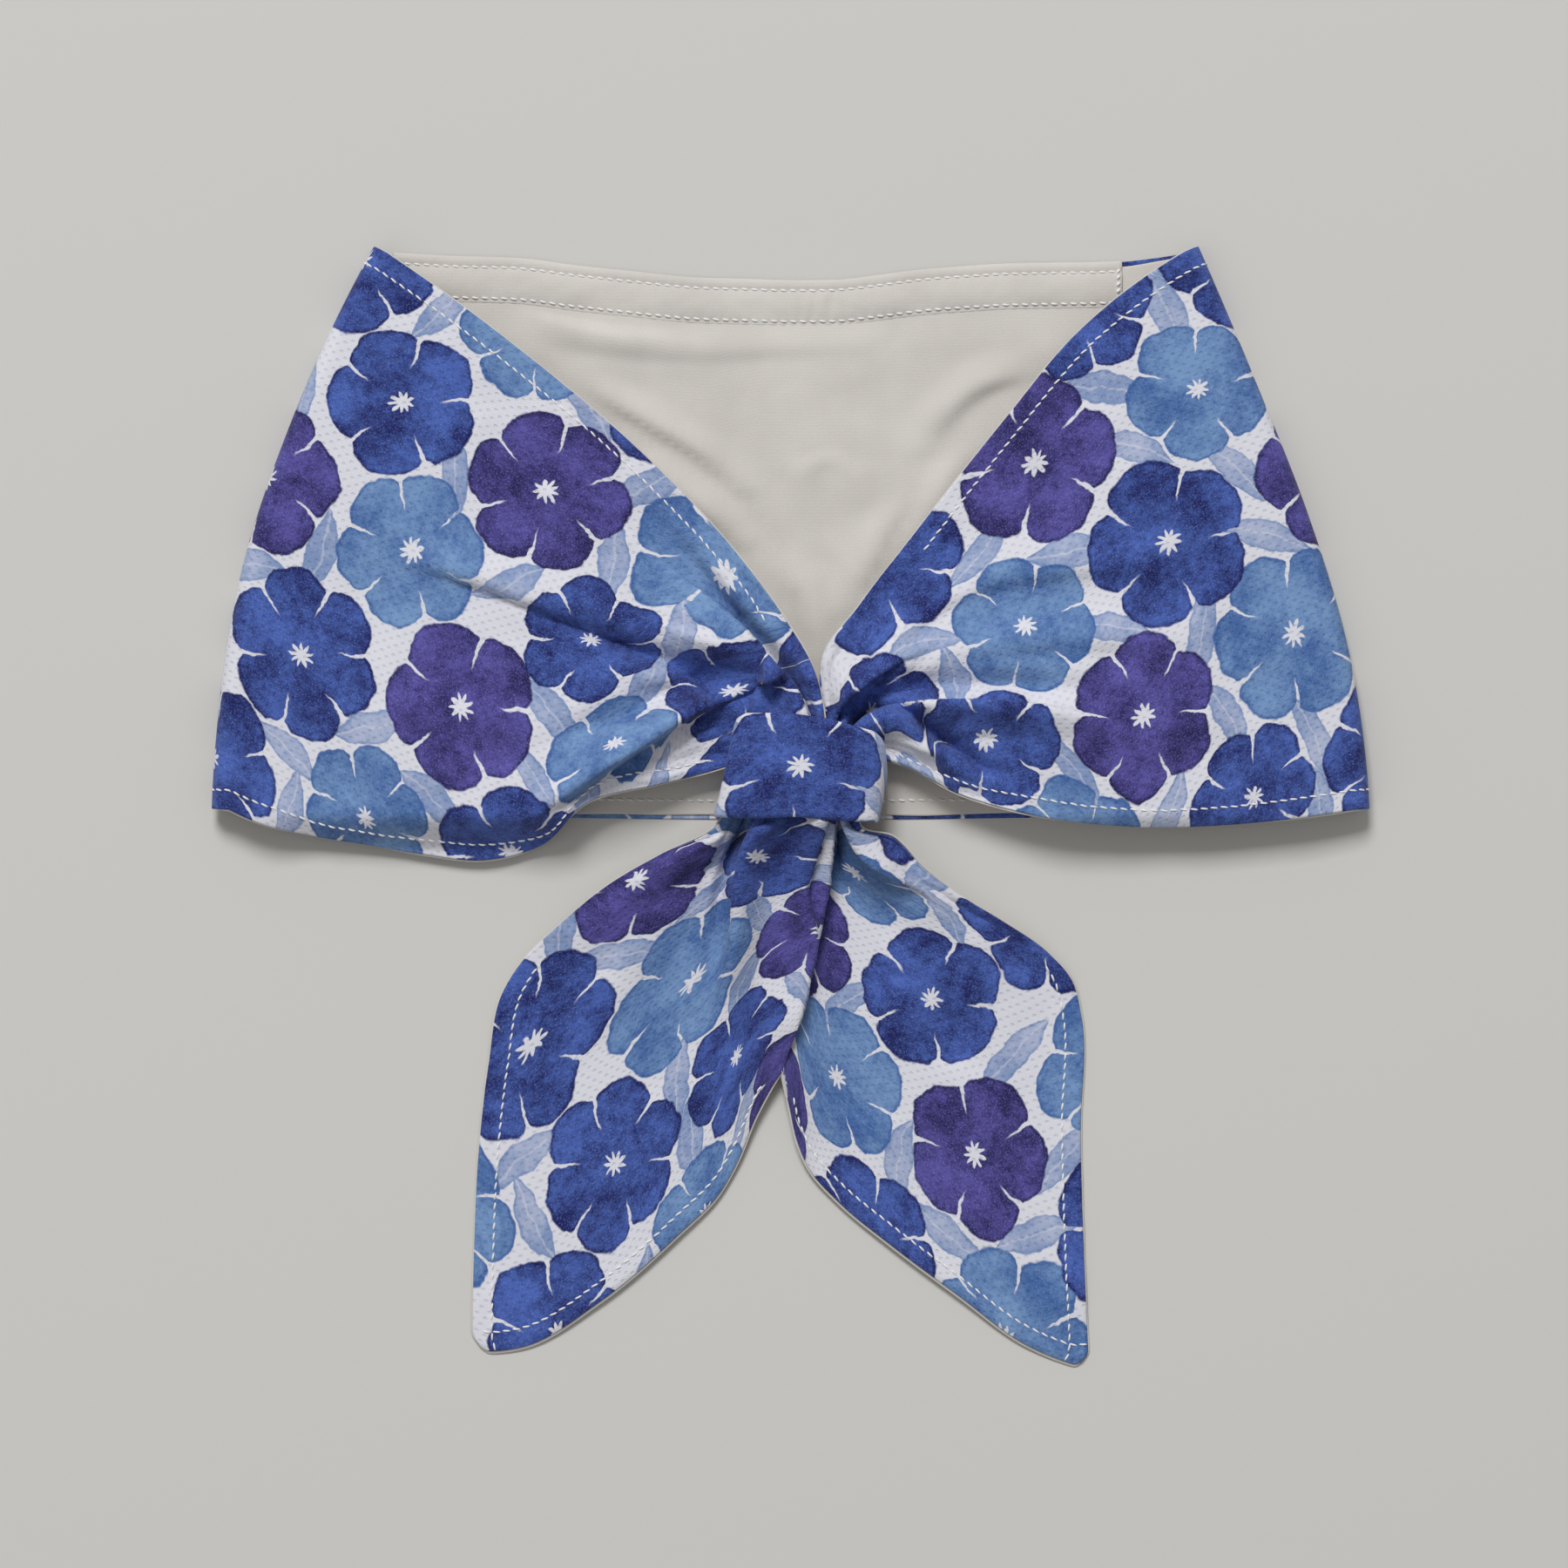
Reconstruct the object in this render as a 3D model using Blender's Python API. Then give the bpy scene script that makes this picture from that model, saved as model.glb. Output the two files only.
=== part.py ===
"""Cooling neck wrap, laid on its back: a printed, lined band gathered into a loop, with a forked tail.

Units are metres, +Z is up and the floor is z = 0. +Y points to the neck edge and +X to the wearer's left, so the
top view is the photograph's. The origin is the middle of the outline, on the floor.
"""

import math
from typing import NamedTuple

import bpy
import numpy as np

# ---- Driving sizes ----
SHOULDER_WIDTH = 0.3445  # across the side folds, at the lower edge
NECK_WIDTH = 0.2457  # across the side folds, at the neck edge
BAND_HEIGHT = 0.1670  # from the lower edge to the neck edge
NECK_SAG = 0.0078  # how far the neck edge dips at the middle
EDGE_SAG = 0.0030  # how far the lower edge dips at the middle
NECK_SHIFT = -0.0013  # the neck edge's middle, from the band's
CLOTH = 0.0010  # one layer of cloth
PLY_GAP = 0.0003  # between the print and its lining
CLEARANCE = 0.0003  # between pieces that lie on each other
LOWER_FOLD_RADIUS = 0.0043  # of the side folds' middle, at the lower edge
NECK_FOLD_RADIUS = 0.0034  # the same at the neck edge
LOBE_RISE = 0.0100  # the height that the lobes' folds are shares of

LOOP_WIDTH = 0.0480
LOOP_HEIGHT = 0.0315  # along Y, between its two mouths
LOOP_DEPTH = 0.0180  # along Z
LOOP_WALL = 0.0020
LOOP_SHIFT = 0.0036  # the loop's middle, from the band's
LOOP_LEAN = 0.0042  # how far its upper mouth is shifted from its lower one
LOOP_DROP = 0.0035  # the lower mouth's level under the band's lower edge
TAPER = 0.06  # how much wider the lower mouth is, as a share

TAIL_DROP = 0.1635  # from the lower mouth to the tips
TAIL_SPREAD = 0.1835  # between the two tips
TAIL_SHIFT = -0.0029  # the middle of the tips, from the band's
NOTCH_DROP = 0.0730  # from the lower mouth to the notch
TAIL_RISE = 0.0090  # the height that the tail's folds are shares of

CASING_WIDTH = 0.0105
CASING_LENGTH = 0.2140
CASING_INSET = 0.0015  # from the neck edge
CASING_SHIFT = -0.0100  # the casing's middle, from the neck edge's

# ---- Sizes that follow ----
HALF_STACK = PLY_GAP / 2 + CLOTH  # from the middle of two plies to either face
STACK = 2 * HALF_STACK
SHARPEST = 1.3 * HALF_STACK  # the smallest radius that two plies bend round
LOOP_BASE = STACK + CLEARANCE  # the loop lies on the back's lining
INSIDE = LOOP_WALL + CLEARANCE + HALF_STACK  # from the loop's outer face to the nearest place for two plies
LOWER_MOUTH = -LOOP_DROP
UPPER_MOUTH = LOWER_MOUTH + LOOP_HEIGHT


class Bend(NamedTuple):
    """A point that an edge passes. Lengths are shares of the straight line between the edge's ends."""

    along: float
    bow: float  # to the left of that line
    rise: float = 0.0  # above it, in shares of the cloth's rise


class Outline(NamedTuple):
    """A point of a side fold: its height, and how far out it is between the neck's width and the shoulder's."""

    up: float
    out: float


class End(NamedTuple):
    """A point of a gathered edge inside the loop."""

    across: float  # the share of the cloth's width
    x: float  # share of the hollow's half width
    y: float  # share of the loop's height, from its lower mouth
    z: float  # share of the hollow's depth


class Fold(NamedTuple):
    """A fold that runs to the knot. Places across the cloth and along it are shares, 1 along is in the loop."""

    name: str
    free: float  # place across the cloth at its free end
    knot: float  # place across the cloth in the loop
    starts: float  # place along
    peaks: float  # place along
    height: float  # at its peak, as a share of the cloth's rise
    held: float  # the same in the loop
    half_width: float  # share of the cloth's width
    lean: float = 0.0  # how far the crest leans towards the first edge, in heights


LEFT_SIDE = (Outline(0, 1), Outline(0.13, 0.972), Outline(0.43, 0.81), Outline(0.67, 0.535), Outline(1, 0))
RIGHT_SIDE = (Outline(0, 1), Outline(0.29, 0.872), Outline(0.52, 0.645), Outline(0.76, 0.335), Outline(1, 0))

LEFT_HEM = (
    Bend(0.06, -0.033, 0.05),
    Bend(0.15, -0.063, 0.1),
    Bend(0.26, -0.092, 0.2),
    Bend(0.37, -0.122, 0.3),
    Bend(0.49, -0.144, 0.4),
    Bend(0.60, -0.124, 0.45),
    Bend(0.70, -0.060, 0.35),
    Bend(0.84, -0.022, 0.1),
    Bend(0.93, -0.008, 0.0),
)
LEFT_NECK = (
    Bend(0.26, 0.051, -0.10),
    Bend(0.52, 0.081, -0.20),
    Bend(0.72, 0.081, -0.28),
    Bend(0.84, 0.067, -0.28),
    Bend(0.92, 0.048, -0.15),
)
RIGHT_HEM = (
    Bend(0.21, 0.050, 0.2),
    Bend(0.46, 0.083, 0.45),
    Bend(0.66, 0.081, 0.35),
    Bend(0.81, 0.042, 0.1),
    Bend(0.93, 0.006, 0.0),
)
RIGHT_NECK = (
    Bend(0.23, -0.065, 0.0),
    Bend(0.39, -0.073, 0.0),
    Bend(0.65, -0.080, 0.0),
    Bend(0.80, -0.082, 0.05),
    Bend(0.91, -0.077, 0.05),
    Bend(0.945, -0.054, 0.0),
)

LEFT_END = (
    End(0, -0.93, 0.54, 0.42),
    End(0.30, -0.58, 0.72, 0.30),
    End(0.60, -0.22, 0.82, 0.26),
    End(0.82, 0.00, 0.86, 0.38),
    End(1, 0.24, 0.88, 0.82),
)
RIGHT_END = (End(0, 0.93, 0.60, 0.42), End(0.40, 0.70, 0.70, 0.30), End(0.75, 0.46, 0.78, 0.22), End(1, 0.28, 0.82, 0.20))

LEFT_FOLDS = (
    Fold("puff over the hem", 0.20, 0.30, 0.10, 0.50, 0.30, 0.0, 0.42),
    Fold("roll above the hem", 0.02, 0.30, 0.25, 0.80, 0.60, 0.25, 0.17, 0.3),
    Fold("big pleat", 0.60, 0.64, 0.35, 0.82, 0.85, 0.30, 0.19, -0.3),
    Fold("soft ridge", 0.80, 0.50, 0.05, 0.35, 0.25, 0.0, 0.20),
)
RIGHT_FOLDS = (
    Fold("puff", 0.35, 0.45, 0.10, 0.55, 0.40, 0.0, 0.40),
    Fold("pleat over the hem", 0.20, 0.42, 0.40, 0.80, 0.70, 0.15, 0.19, 0.3),
    Fold("upper roll", 0.62, 0.78, 0.30, 0.75, 0.50, 0.20, 0.20),
)

TAIL_LEFT = (
    Bend(0.04, 0.000, 0.0),
    Bend(0.13, -0.064, -0.15),
    Bend(0.21, -0.120, -0.30),
    Bend(0.31, -0.168, -0.45),
    Bend(0.38, -0.195, -0.55),
    Bend(0.45, -0.204, -0.55),
    Bend(0.56, -0.176, -0.50),
    Bend(0.70, -0.129, -0.40),
    Bend(0.86, -0.063, -0.20),
)
TAIL_RIGHT = (
    Bend(0.035, -0.010, 0.0),
    Bend(0.08, 0.022, -0.05),
    Bend(0.14, 0.048, -0.15),
    Bend(0.20, 0.084, -0.25),
    Bend(0.27, 0.137, -0.40),
    Bend(0.34, 0.184, -0.50),
    Bend(0.40, 0.205, -0.55),
    Bend(0.46, 0.198, -0.55),
    Bend(0.63, 0.130, -0.45),
    Bend(0.84, 0.054, -0.25),
)
TAIL_LEFT_HEM = (
    Bend(0.09, -0.070, 0.0),
    Bend(0.31, -0.117, 0.0),
    Bend(0.56, -0.124, -0.1),
    Bend(0.69, -0.118, -0.2),
    Bend(0.77, -0.093, -0.2),
    Bend(0.89, -0.037, -0.1),
)
TAIL_RIGHT_HEM = (
    Bend(0.07, -0.045, 0.0),
    Bend(0.14, -0.091, -0.1),
    Bend(0.20, -0.116, -0.2),
    Bend(0.31, -0.125, -0.2),
    Bend(0.46, -0.113, -0.1),
    Bend(0.66, -0.088, 0.0),
    Bend(0.86, -0.060, 0.0),
)
TAIL_END = (
    End(0, -0.95, 0.20, 0.35),
    End(0.20, -0.62, 0.20, 0.25),
    End(0.42, -0.12, 0.20, 0.30),
    End(0.54, 0.36, 0.20, 0.25),
    End(0.75, 0.66, 0.20, 0.18),
    End(1, 0.95, 0.20, 0.35),
)
TAIL_FOLDS = (
    Fold("left panel", 0.16, 0.12, 0.35, 0.75, 0.40, 0.10, 0.16),
    Fold("front pleat", 0.44, 0.40, 0.05, 0.75, 0.90, 0.35, 0.15, -0.5),
    Fold("right roll", 0.70, 0.70, 0.30, 0.80, 0.60, 0.25, 0.15),
    Fold("right panel", 0.84, 0.90, 0.20, 0.60, 0.35, 0.05, 0.16),
)

UPPER_RIM = ((-1, 0.94), (-0.85, 1), (-0.3, 1), (0.2, 0.955), (0.85, 0.83), (1, 0.73))  # x share, height share
SQUARENESS = 0.5  # of the loop's section: 1 is an ellipse, 0 a rectangle
SIDE_DIPS = {-1: 0.50, 1: 0.30}  # how much lower the upper rim is at each side wall, as shares of the loop's height

# ---- How finely the cloth is divided ----
ROWS = 16
LOBE_COLUMNS = 16
FOLD_COLUMNS = 4
BACK_COLUMNS = 8
TAIL_ROWS = 14
TAIL_COLUMNS = 20
KNOT_CROWDING = 1.35
AT_RIM = 0.96  # the place along the cloth where it passes under the loop's rim


# ---- Curves and surfaces ----
def smooth(at, points, where):
    """Points of a smooth curve through `points`, met at the values `at`, for the values `where`."""
    at, points, where = (np.asarray(values, float) for values in (at, points, where))
    slopes = np.gradient(points, at, axis=0, edge_order=2) if len(at) > 2 else np.gradient(points, at, axis=0)
    left = np.clip(np.searchsorted(at, where, side="right") - 1, 0, len(at) - 2)
    span = (at[left + 1] - at[left])[:, None]
    t = (where - at[left])[:, None] / span
    return (
        points[left] * (2 * t**3 - 3 * t**2 + 1)
        + slopes[left] * span * (t**3 - 2 * t**2 + t)
        + points[left + 1] * (3 * t**2 - 2 * t**3)
        + slopes[left + 1] * span * (t**3 - t**2)
    )


def ease(t):
    """0 to 1 with level ends."""
    t = np.clip(t, 0, 1)
    return t * t * (3 - 2 * t)


def edge(start, end, bends, rise, shares):
    """An edge of the cloth from start to end, past its bends, at shares of its length."""
    line = end - start
    length = math.hypot(line[0], line[1])
    to_left = np.array([-line[1], line[0], 0]) / length
    passed = [start + b.along * line + b.bow * length * to_left + np.array([0, 0, b.rise * rise]) for b in bends]
    points = np.array([start, *passed, end])
    lengths = np.concatenate([[0], np.cumsum(np.linalg.norm(np.diff(points, axis=0), axis=1))])
    return smooth(lengths, points, np.asarray(shares) * lengths[-1])


def patch(lower, upper, first, last):
    """The surface between four edges (a Coons patch), as an array of points: along, across."""
    u = np.linspace(0, 1, len(lower))
    gone = np.concatenate([[0], np.cumsum(np.linalg.norm(np.diff(lower + upper, axis=0), axis=1))])
    u = (gone / gone[-1])[:, None, None]
    v = np.linspace(0, 1, len(first))[None, :, None]
    ruled = (1 - v) * lower[:, None] + v * upper[:, None] + (1 - u) * first[None] + u * last[None]
    corners = (1 - u) * ((1 - v) * first[0] + v * first[-1]) + u * ((1 - v) * last[0] + v * last[-1])
    return ruled - corners


def raise_folds(surface, folds, rise):
    """The surface with its folds, each a bump across the cloth that runs along it, no sharper than the plies allow."""
    along, across = surface.shape[:2]
    u = np.linspace(0, 1, along)[:, None]
    v = np.linspace(0, 1, across)[None, :]
    sideways = np.gradient(surface, axis=1)
    sideways[..., 2] = 0
    sideways /= np.linalg.norm(sideways, axis=2, keepdims=True)
    width = np.linalg.norm(np.diff(surface, axis=1), axis=2).sum(axis=1)[:, None]
    raised = surface.copy()
    for fold in folds:
        middle = fold.free + (fold.knot - fold.free) * u
        growing = fold.height * ease((u - fold.starts) / (fold.peaks - fold.starts))
        held = (fold.held - fold.height) * ease((u - fold.peaks) / (AT_RIM - fold.peaks))
        bump = np.cos(np.clip((v - middle) / fold.half_width, -1, 1) * math.pi / 2) ** 2
        wanted = rise * (growing + held) + 1e-9
        highest = (fold.half_width * width) ** 2 / (5 * SHARPEST)
        height = wanted * highest / (wanted**3 + highest**3) ** (1 / 3) * bump
        raised[..., 2] += height
        raised -= sideways * (fold.lean * height)[..., None]
    return raised


def crowded(count):
    """Shares from 0 to 1 that lie closer together towards 1."""
    return 1 - (1 - np.linspace(0, 1, count + 1)) ** KNOT_CROWDING


def normals_of(surface):
    """Unit normals of a grid of points."""
    along, across = np.gradient(surface, axis=0), np.gradient(surface, axis=1)
    normals = np.cross(along, across)
    return normals / np.linalg.norm(normals, axis=2, keepdims=True)


# ---- Solids ----
def clear_scene():
    """Removes every object, so that the part is all there is."""
    for item in list(bpy.data.objects):
        bpy.data.objects.remove(item, do_unlink=True)


def material(name, color, roughness):
    """A plain Principled material."""
    made = bpy.data.materials.new(name)
    made.use_nodes = True
    shader = made.node_tree.nodes["Principled BSDF"]
    shader.inputs["Base Color"].default_value = (*color, 1)
    shader.inputs["Roughness"].default_value = roughness
    shader.inputs["Metallic"].default_value = 0
    return made


def solid(name, points, faces, finish):
    """One object from points and faces."""
    mesh = bpy.data.meshes.new(name)
    mesh.from_pydata([tuple(p) for p in points], [], faces)
    mesh.materials.append(finish)
    made = bpy.data.objects.new(name, mesh)
    bpy.context.scene.collection.objects.link(made)
    return made


def slab(name, low, high, finish, closed=False):
    """The solid between two grids of points, high being on the side that the grids' normals point to.

    With closed, the grids' first direction runs round a ring. Each cell is cut into triangles along the same diagonal
    on every grid, so that plies that follow each other stay apart.
    """
    along, across = low.shape[:2]
    first_high = along * across
    steps = along if closed else along - 1

    def at(i, j, top):
        return (i % along) * across + j + (first_high if top else 0)

    faces = []
    for i in range(steps):
        for j in range(across - 1):
            for corners in (((i, j), (i + 1, j), (i + 1, j + 1)), ((i, j), (i + 1, j + 1), (i, j + 1))):
                faces.append([at(*c, True) for c in corners])
                faces.append([at(*c, False) for c in reversed(corners)])
        for j, (a, b) in ((0, (i, i + 1)), (across - 1, (i + 1, i))):
            faces.append([at(a, j, False), at(b, j, False), at(b, j, True), at(a, j, True)])
    for j in range(0 if closed else across - 1):
        for i, (a, b) in ((0, (j + 1, j)), (along - 1, (j, j + 1))):
            faces.append([at(i, a, False), at(i, b, False), at(i, b, True), at(i, a, True)])
    return solid(name, np.concatenate([low.reshape(-1, 3), high.reshape(-1, 3)]), faces, finish)


def two_plies(outer, lining, middle, print_finish, lining_finish):
    """The printed ply on the outward side of a middle surface, and the lining on the other."""
    out = normals_of(middle)
    near, far = PLY_GAP / 2, HALF_STACK
    slab(outer, middle + near * out, middle + far * out, print_finish)
    slab(lining, middle - far * out, middle - near * out, lining_finish)


# ---- The band ----
def side_fold(side, outline, shares):
    """The silhouette of a side fold, the way out from it and its radius, from the lower edge to the neck edge."""
    ups, outs = np.array(outline).T
    half_neck = NECK_WIDTH / 2 + side * NECK_SHIFT
    half_shoulder = SHOULDER_WIDTH / 2
    points = np.zeros((len(ups), 3))
    points[:, 0] = side * (half_neck + outs * (half_shoulder - half_neck))
    points[:, 1] = ups * BAND_HEIGHT
    lengths = np.concatenate([[0], np.cumsum(np.linalg.norm(np.diff(points, axis=0), axis=1))])
    rim = smooth(lengths, points, shares * lengths[-1])
    way = np.gradient(rim, axis=0)
    out = side * np.stack([way[:, 1], -way[:, 0], way[:, 2]], axis=1)
    out /= np.linalg.norm(out, axis=1, keepdims=True)
    radius = LOWER_FOLD_RADIUS + (NECK_FOLD_RADIUS - LOWER_FOLD_RADIUS) * shares
    return rim, out, radius


def fold_arc(rim, out, radius, angle):
    """The line of the fold's middle surface at an angle: -90 degrees is on the back, 90 on the lobe."""
    centre = rim - out * (radius + HALF_STACK)[:, None]
    line = centre + out * (radius * math.cos(angle))[:, None]
    line[:, 2] = HALF_STACK + radius * (1 + math.sin(angle))
    return line


def hollow_point(end):
    """A place in the loop's hollow, from an End row."""
    share_up = end.y
    middle = LOOP_SHIFT + LOOP_LEAN * (share_up - 0.5)
    half = LOOP_WIDTH / 2 * (1 + TAPER * (0.5 - share_up)) - INSIDE
    depth = LOOP_DEPTH - 2 * INSIDE
    return np.array([middle + end.x * half, LOWER_MOUTH + end.y * LOOP_HEIGHT, LOOP_BASE + INSIDE + end.z * depth])


def gathered_end(rows, shares):
    """The gathered edge inside the loop."""
    return smooth([row.across for row in rows], [hollow_point(row) for row in rows], shares)


def lobe(start, hem_bends, neck_bends, end_rows, folds):
    """The middle surface of a front lobe, from its side fold to the loop."""
    last = gathered_end(end_rows, np.linspace(0, 1, ROWS + 1))
    shares = crowded(LOBE_COLUMNS)
    hem = edge(start[0], last[0], hem_bends, LOBE_RISE, shares)
    neck = edge(start[-1], last[-1], neck_bends, LOBE_RISE, shares)
    return raise_folds(patch(hem, neck, start, last), folds, LOBE_RISE)


def sagging(start, end, sag, count):
    """A line between two points that dips towards -Y at its middle."""
    t = np.linspace(0, 1, count)[:, None]
    line = start + (end - start) * t
    line[:, 1] -= sag * 4 * t[:, 0] * (1 - t[:, 0])
    return line


def band_middle():
    """The middle surface of the band: right lobe, right fold, back, left fold and left lobe."""
    shares = np.linspace(0, 1, ROWS + 1)
    right, left = side_fold(1, RIGHT_SIDE, shares), side_fold(-1, LEFT_SIDE, shares)
    on_back, on_lobe = -math.pi / 2, math.pi / 2
    back_right, back_left = fold_arc(*right, on_back), fold_arc(*left, on_back)
    lower = sagging(back_right[0], back_left[0], EDGE_SAG, BACK_COLUMNS + 1)
    upper = sagging(back_right[-1], back_left[-1], NECK_SAG, BACK_COLUMNS + 1)
    back = patch(lower, upper, back_right, back_left)
    turns = np.linspace(on_back, on_lobe, FOLD_COLUMNS + 1)
    right_turn = np.array([fold_arc(*right, angle) for angle in turns[:0:-1]])
    left_turn = np.array([fold_arc(*left, angle) for angle in turns[1:]])
    right_lobe = lobe(right_turn[0], RIGHT_HEM, RIGHT_NECK, RIGHT_END, RIGHT_FOLDS)
    left_lobe = lobe(left_turn[-1], LEFT_HEM, LEFT_NECK, LEFT_END, LEFT_FOLDS)
    return np.concatenate([right_lobe[:0:-1], right_turn, back, left_turn, left_lobe[1:]])


def neck_casing(finish):
    """The stitched strip on the lining, along the neck edge of the back."""
    half = CASING_LENGTH / 2
    across = np.linspace(-half, half, 2 * BACK_COLUMNS + 1) + CASING_SHIFT
    sag = NECK_SAG * (1 - (across / (NECK_WIDTH / 2)) ** 2)
    upper = BAND_HEIGHT - sag - CASING_INSET
    x = across + NECK_SHIFT
    rows = [np.stack([x, upper - down, np.full_like(x, LOOP_BASE)], axis=1) for down in (CASING_WIDTH, 0)]
    low = np.stack(rows, axis=1)
    slab("neck_casing", low, low + np.array([0, 0, CLOTH]), finish)


# ---- The loop ----
def loop_section(angle, share_up, inset):
    """A point of the loop's section, a rounded rectangle, at an angle round it and a share of its height."""
    half_width = LOOP_WIDTH / 2 * (1 + TAPER * (0.5 - share_up)) - inset
    half_depth = LOOP_DEPTH / 2 - inset
    c, s = math.cos(angle), math.sin(angle)
    x = math.copysign(abs(c) ** SQUARENESS, c)
    z = math.copysign(abs(s) ** SQUARENESS, s)
    rim_x, rim_up = np.array(UPPER_RIM).T
    upper = float(np.interp(x, rim_x, rim_up)) - SIDE_DIPS[1 if c > 0 else -1] * abs(c) ** 8
    y = LOWER_MOUTH + LOOP_HEIGHT * upper * share_up
    middle = LOOP_SHIFT + LOOP_LEAN * (share_up - 0.5)
    return (middle + half_width * x, y, LOOP_BASE + LOOP_DEPTH / 2 + half_depth * z)


def knot_loop(finish, around=36, rows=4):
    """The loop: a flattened tube of cloth round the gathers, open at both mouths."""
    angles = [2 * math.pi * (i + 0.5) / around for i in range(around)]
    inner, outer = (
        np.array([[loop_section(a, j / rows, inset) for j in range(rows + 1)] for a in angles])
        for inset in (LOOP_WALL, 0)
    )
    slab("knot_loop", inner[:, ::-1], outer[:, ::-1], finish, closed=True)


# ---- The tail ----
def tail_middle():
    """The middle surface of the forked tail, from its tips and notch to the loop, and from right to left."""
    level = HALF_STACK
    tips_y = LOWER_MOUTH - TAIL_DROP
    left_tip = np.array([TAIL_SHIFT - TAIL_SPREAD / 2, tips_y + 0.012 * TAIL_DROP, level])
    right_tip = np.array([TAIL_SHIFT + TAIL_SPREAD / 2, tips_y, level])
    notch = np.array([TAIL_SHIFT, LOWER_MOUTH - NOTCH_DROP, level + 0.5 * TAIL_RISE])
    shares = np.linspace(0, 1, TAIL_COLUMNS // 2 + 1)
    left_hem = edge(left_tip, notch, TAIL_LEFT_HEM, TAIL_RISE, shares)
    right_hem = edge(notch, right_tip, TAIL_RIGHT_HEM, TAIL_RISE, shares)
    hem = np.concatenate([left_hem, right_hem[1:]])
    last = gathered_end(TAIL_END, np.linspace(0, 1, TAIL_COLUMNS + 1))
    down = crowded(TAIL_ROWS)[::-1]
    left = edge(last[0], left_tip, TAIL_LEFT, TAIL_RISE, 1 - crowded(TAIL_ROWS)[::-1])[::-1]
    right = edge(last[-1], right_tip, TAIL_RIGHT, TAIL_RISE, 1 - crowded(TAIL_ROWS)[::-1])[::-1]
    surface = raise_folds(patch(left, right, hem, last), TAIL_FOLDS, TAIL_RISE)
    surface[..., 2] = np.maximum(surface[..., 2], level)
    return surface[:, ::-1]


def build():
    """Makes every piece."""
    clear_scene()
    printed = material("printed mesh", (0.16, 0.22, 0.50), 0.85)
    lining = material("beige lining", (0.58, 0.56, 0.52), 0.75)
    two_plies("band_outer", "band_lining", band_middle(), printed, lining)
    two_plies("tail_outer", "tail_lining", tail_middle(), printed, lining)
    neck_casing(lining)
    knot_loop(printed)


build()
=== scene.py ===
"""Looks of the cooling neck wrap: printed mesh cloth, beige lining, gathers, loop, forked tail and stitching.

Every length is in metres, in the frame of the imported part: +X to the right of the top view, +Y to the neck
edge, +Z up, and the floor at z = 0.
"""

from __future__ import annotations

import logging
import math
from dataclasses import dataclass, field
from enum import Enum
from typing import NamedTuple, Sequence

import bmesh
import bpy
import numpy as np
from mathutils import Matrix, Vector, noise


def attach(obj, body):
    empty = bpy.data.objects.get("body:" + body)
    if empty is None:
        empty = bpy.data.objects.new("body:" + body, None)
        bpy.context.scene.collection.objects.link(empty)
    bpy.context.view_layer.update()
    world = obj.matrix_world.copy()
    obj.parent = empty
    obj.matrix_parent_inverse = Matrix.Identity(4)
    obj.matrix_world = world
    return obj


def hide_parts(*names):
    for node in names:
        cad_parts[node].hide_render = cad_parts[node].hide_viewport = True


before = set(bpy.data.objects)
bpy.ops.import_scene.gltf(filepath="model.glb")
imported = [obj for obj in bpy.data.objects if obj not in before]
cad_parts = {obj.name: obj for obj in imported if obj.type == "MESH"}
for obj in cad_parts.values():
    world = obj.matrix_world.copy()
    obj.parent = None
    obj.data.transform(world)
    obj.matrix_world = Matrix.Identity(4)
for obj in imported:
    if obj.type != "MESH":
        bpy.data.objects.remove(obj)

Grid = np.ndarray
Color = tuple[float, float, float]

log = logging.getLogger("neck_wrap")

CLOTH_MAP = "cloth"
PRINT_TILE = 0.156
PRINT_START = (0.1507, -0.0057)
KNIT_PITCH = 0.0038
TRICOT_PITCH = 0.00075
TENTH_MM = 10000
TINY = 1e-12
UNDER_RIM = 0.96
SHARPEST_BEND = 0.0009
HEM_FLANK = 0.006
EDGE_BULGE = 0.45


class Lies(Enum):
    """Which way a ply lies from the middle of the two plies."""

    OUTSIDE = 1
    INSIDE = -1


class Bend(NamedTuple):
    """A point that an edge passes. Lengths are shares of the straight line between the edge's ends."""

    along: float
    bow: float
    rise: float = 0.0


class Outline(NamedTuple):
    """A point of a side fold: its height, and how far out it is from the neck's width to the shoulder's."""

    up: float
    out: float


class End(NamedTuple):
    """A point of a gathered edge inside the loop: place across the cloth, and shares of the loop's hollow."""

    across: float
    x: float
    y: float
    z: float


class Fold(NamedTuple):
    """A fold that runs to the knot, in shares of the cloth; heights are shares of the cloth's rise."""

    name: str
    free: float
    knot: float
    starts: float
    peaks: float
    height: float
    held: float
    half_width: float
    lean: float = 0.0


class Pleat(NamedTuple):
    """A pleat, or with a negative height a gully, over a line on the plan that runs to the knot.

    The widths are those to the left and right of the line. Where lean is above 0, the crest leans to the left
    by that share of its height and hangs over the cloth there, and below 0 to the right. The height comes in
    over the share fade of the line, and the share kept of it is left at the line's end.
    """

    name: str
    height: float
    kept: float
    left: float
    right: float
    line: Grid
    lean: float = 0.0
    fade: float = 0.4


class Wave(NamedTuple):
    """Soft uneven waves: their usual height and length, and where in the noise they are taken from."""

    height: float
    length: float
    seed: float


def traced(*numbers: int) -> Grid:
    """Gives the points of a line on the plan from x and y in turn, in tenths of a millimetre."""
    return np.array(numbers).reshape(-1, 2) / TENTH_MM


def unit(vectors: Grid) -> Grid:
    """Gives the same directions with the length 1."""
    return vectors / np.maximum(np.linalg.norm(vectors, axis=-1, keepdims=True), TINY)


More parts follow.
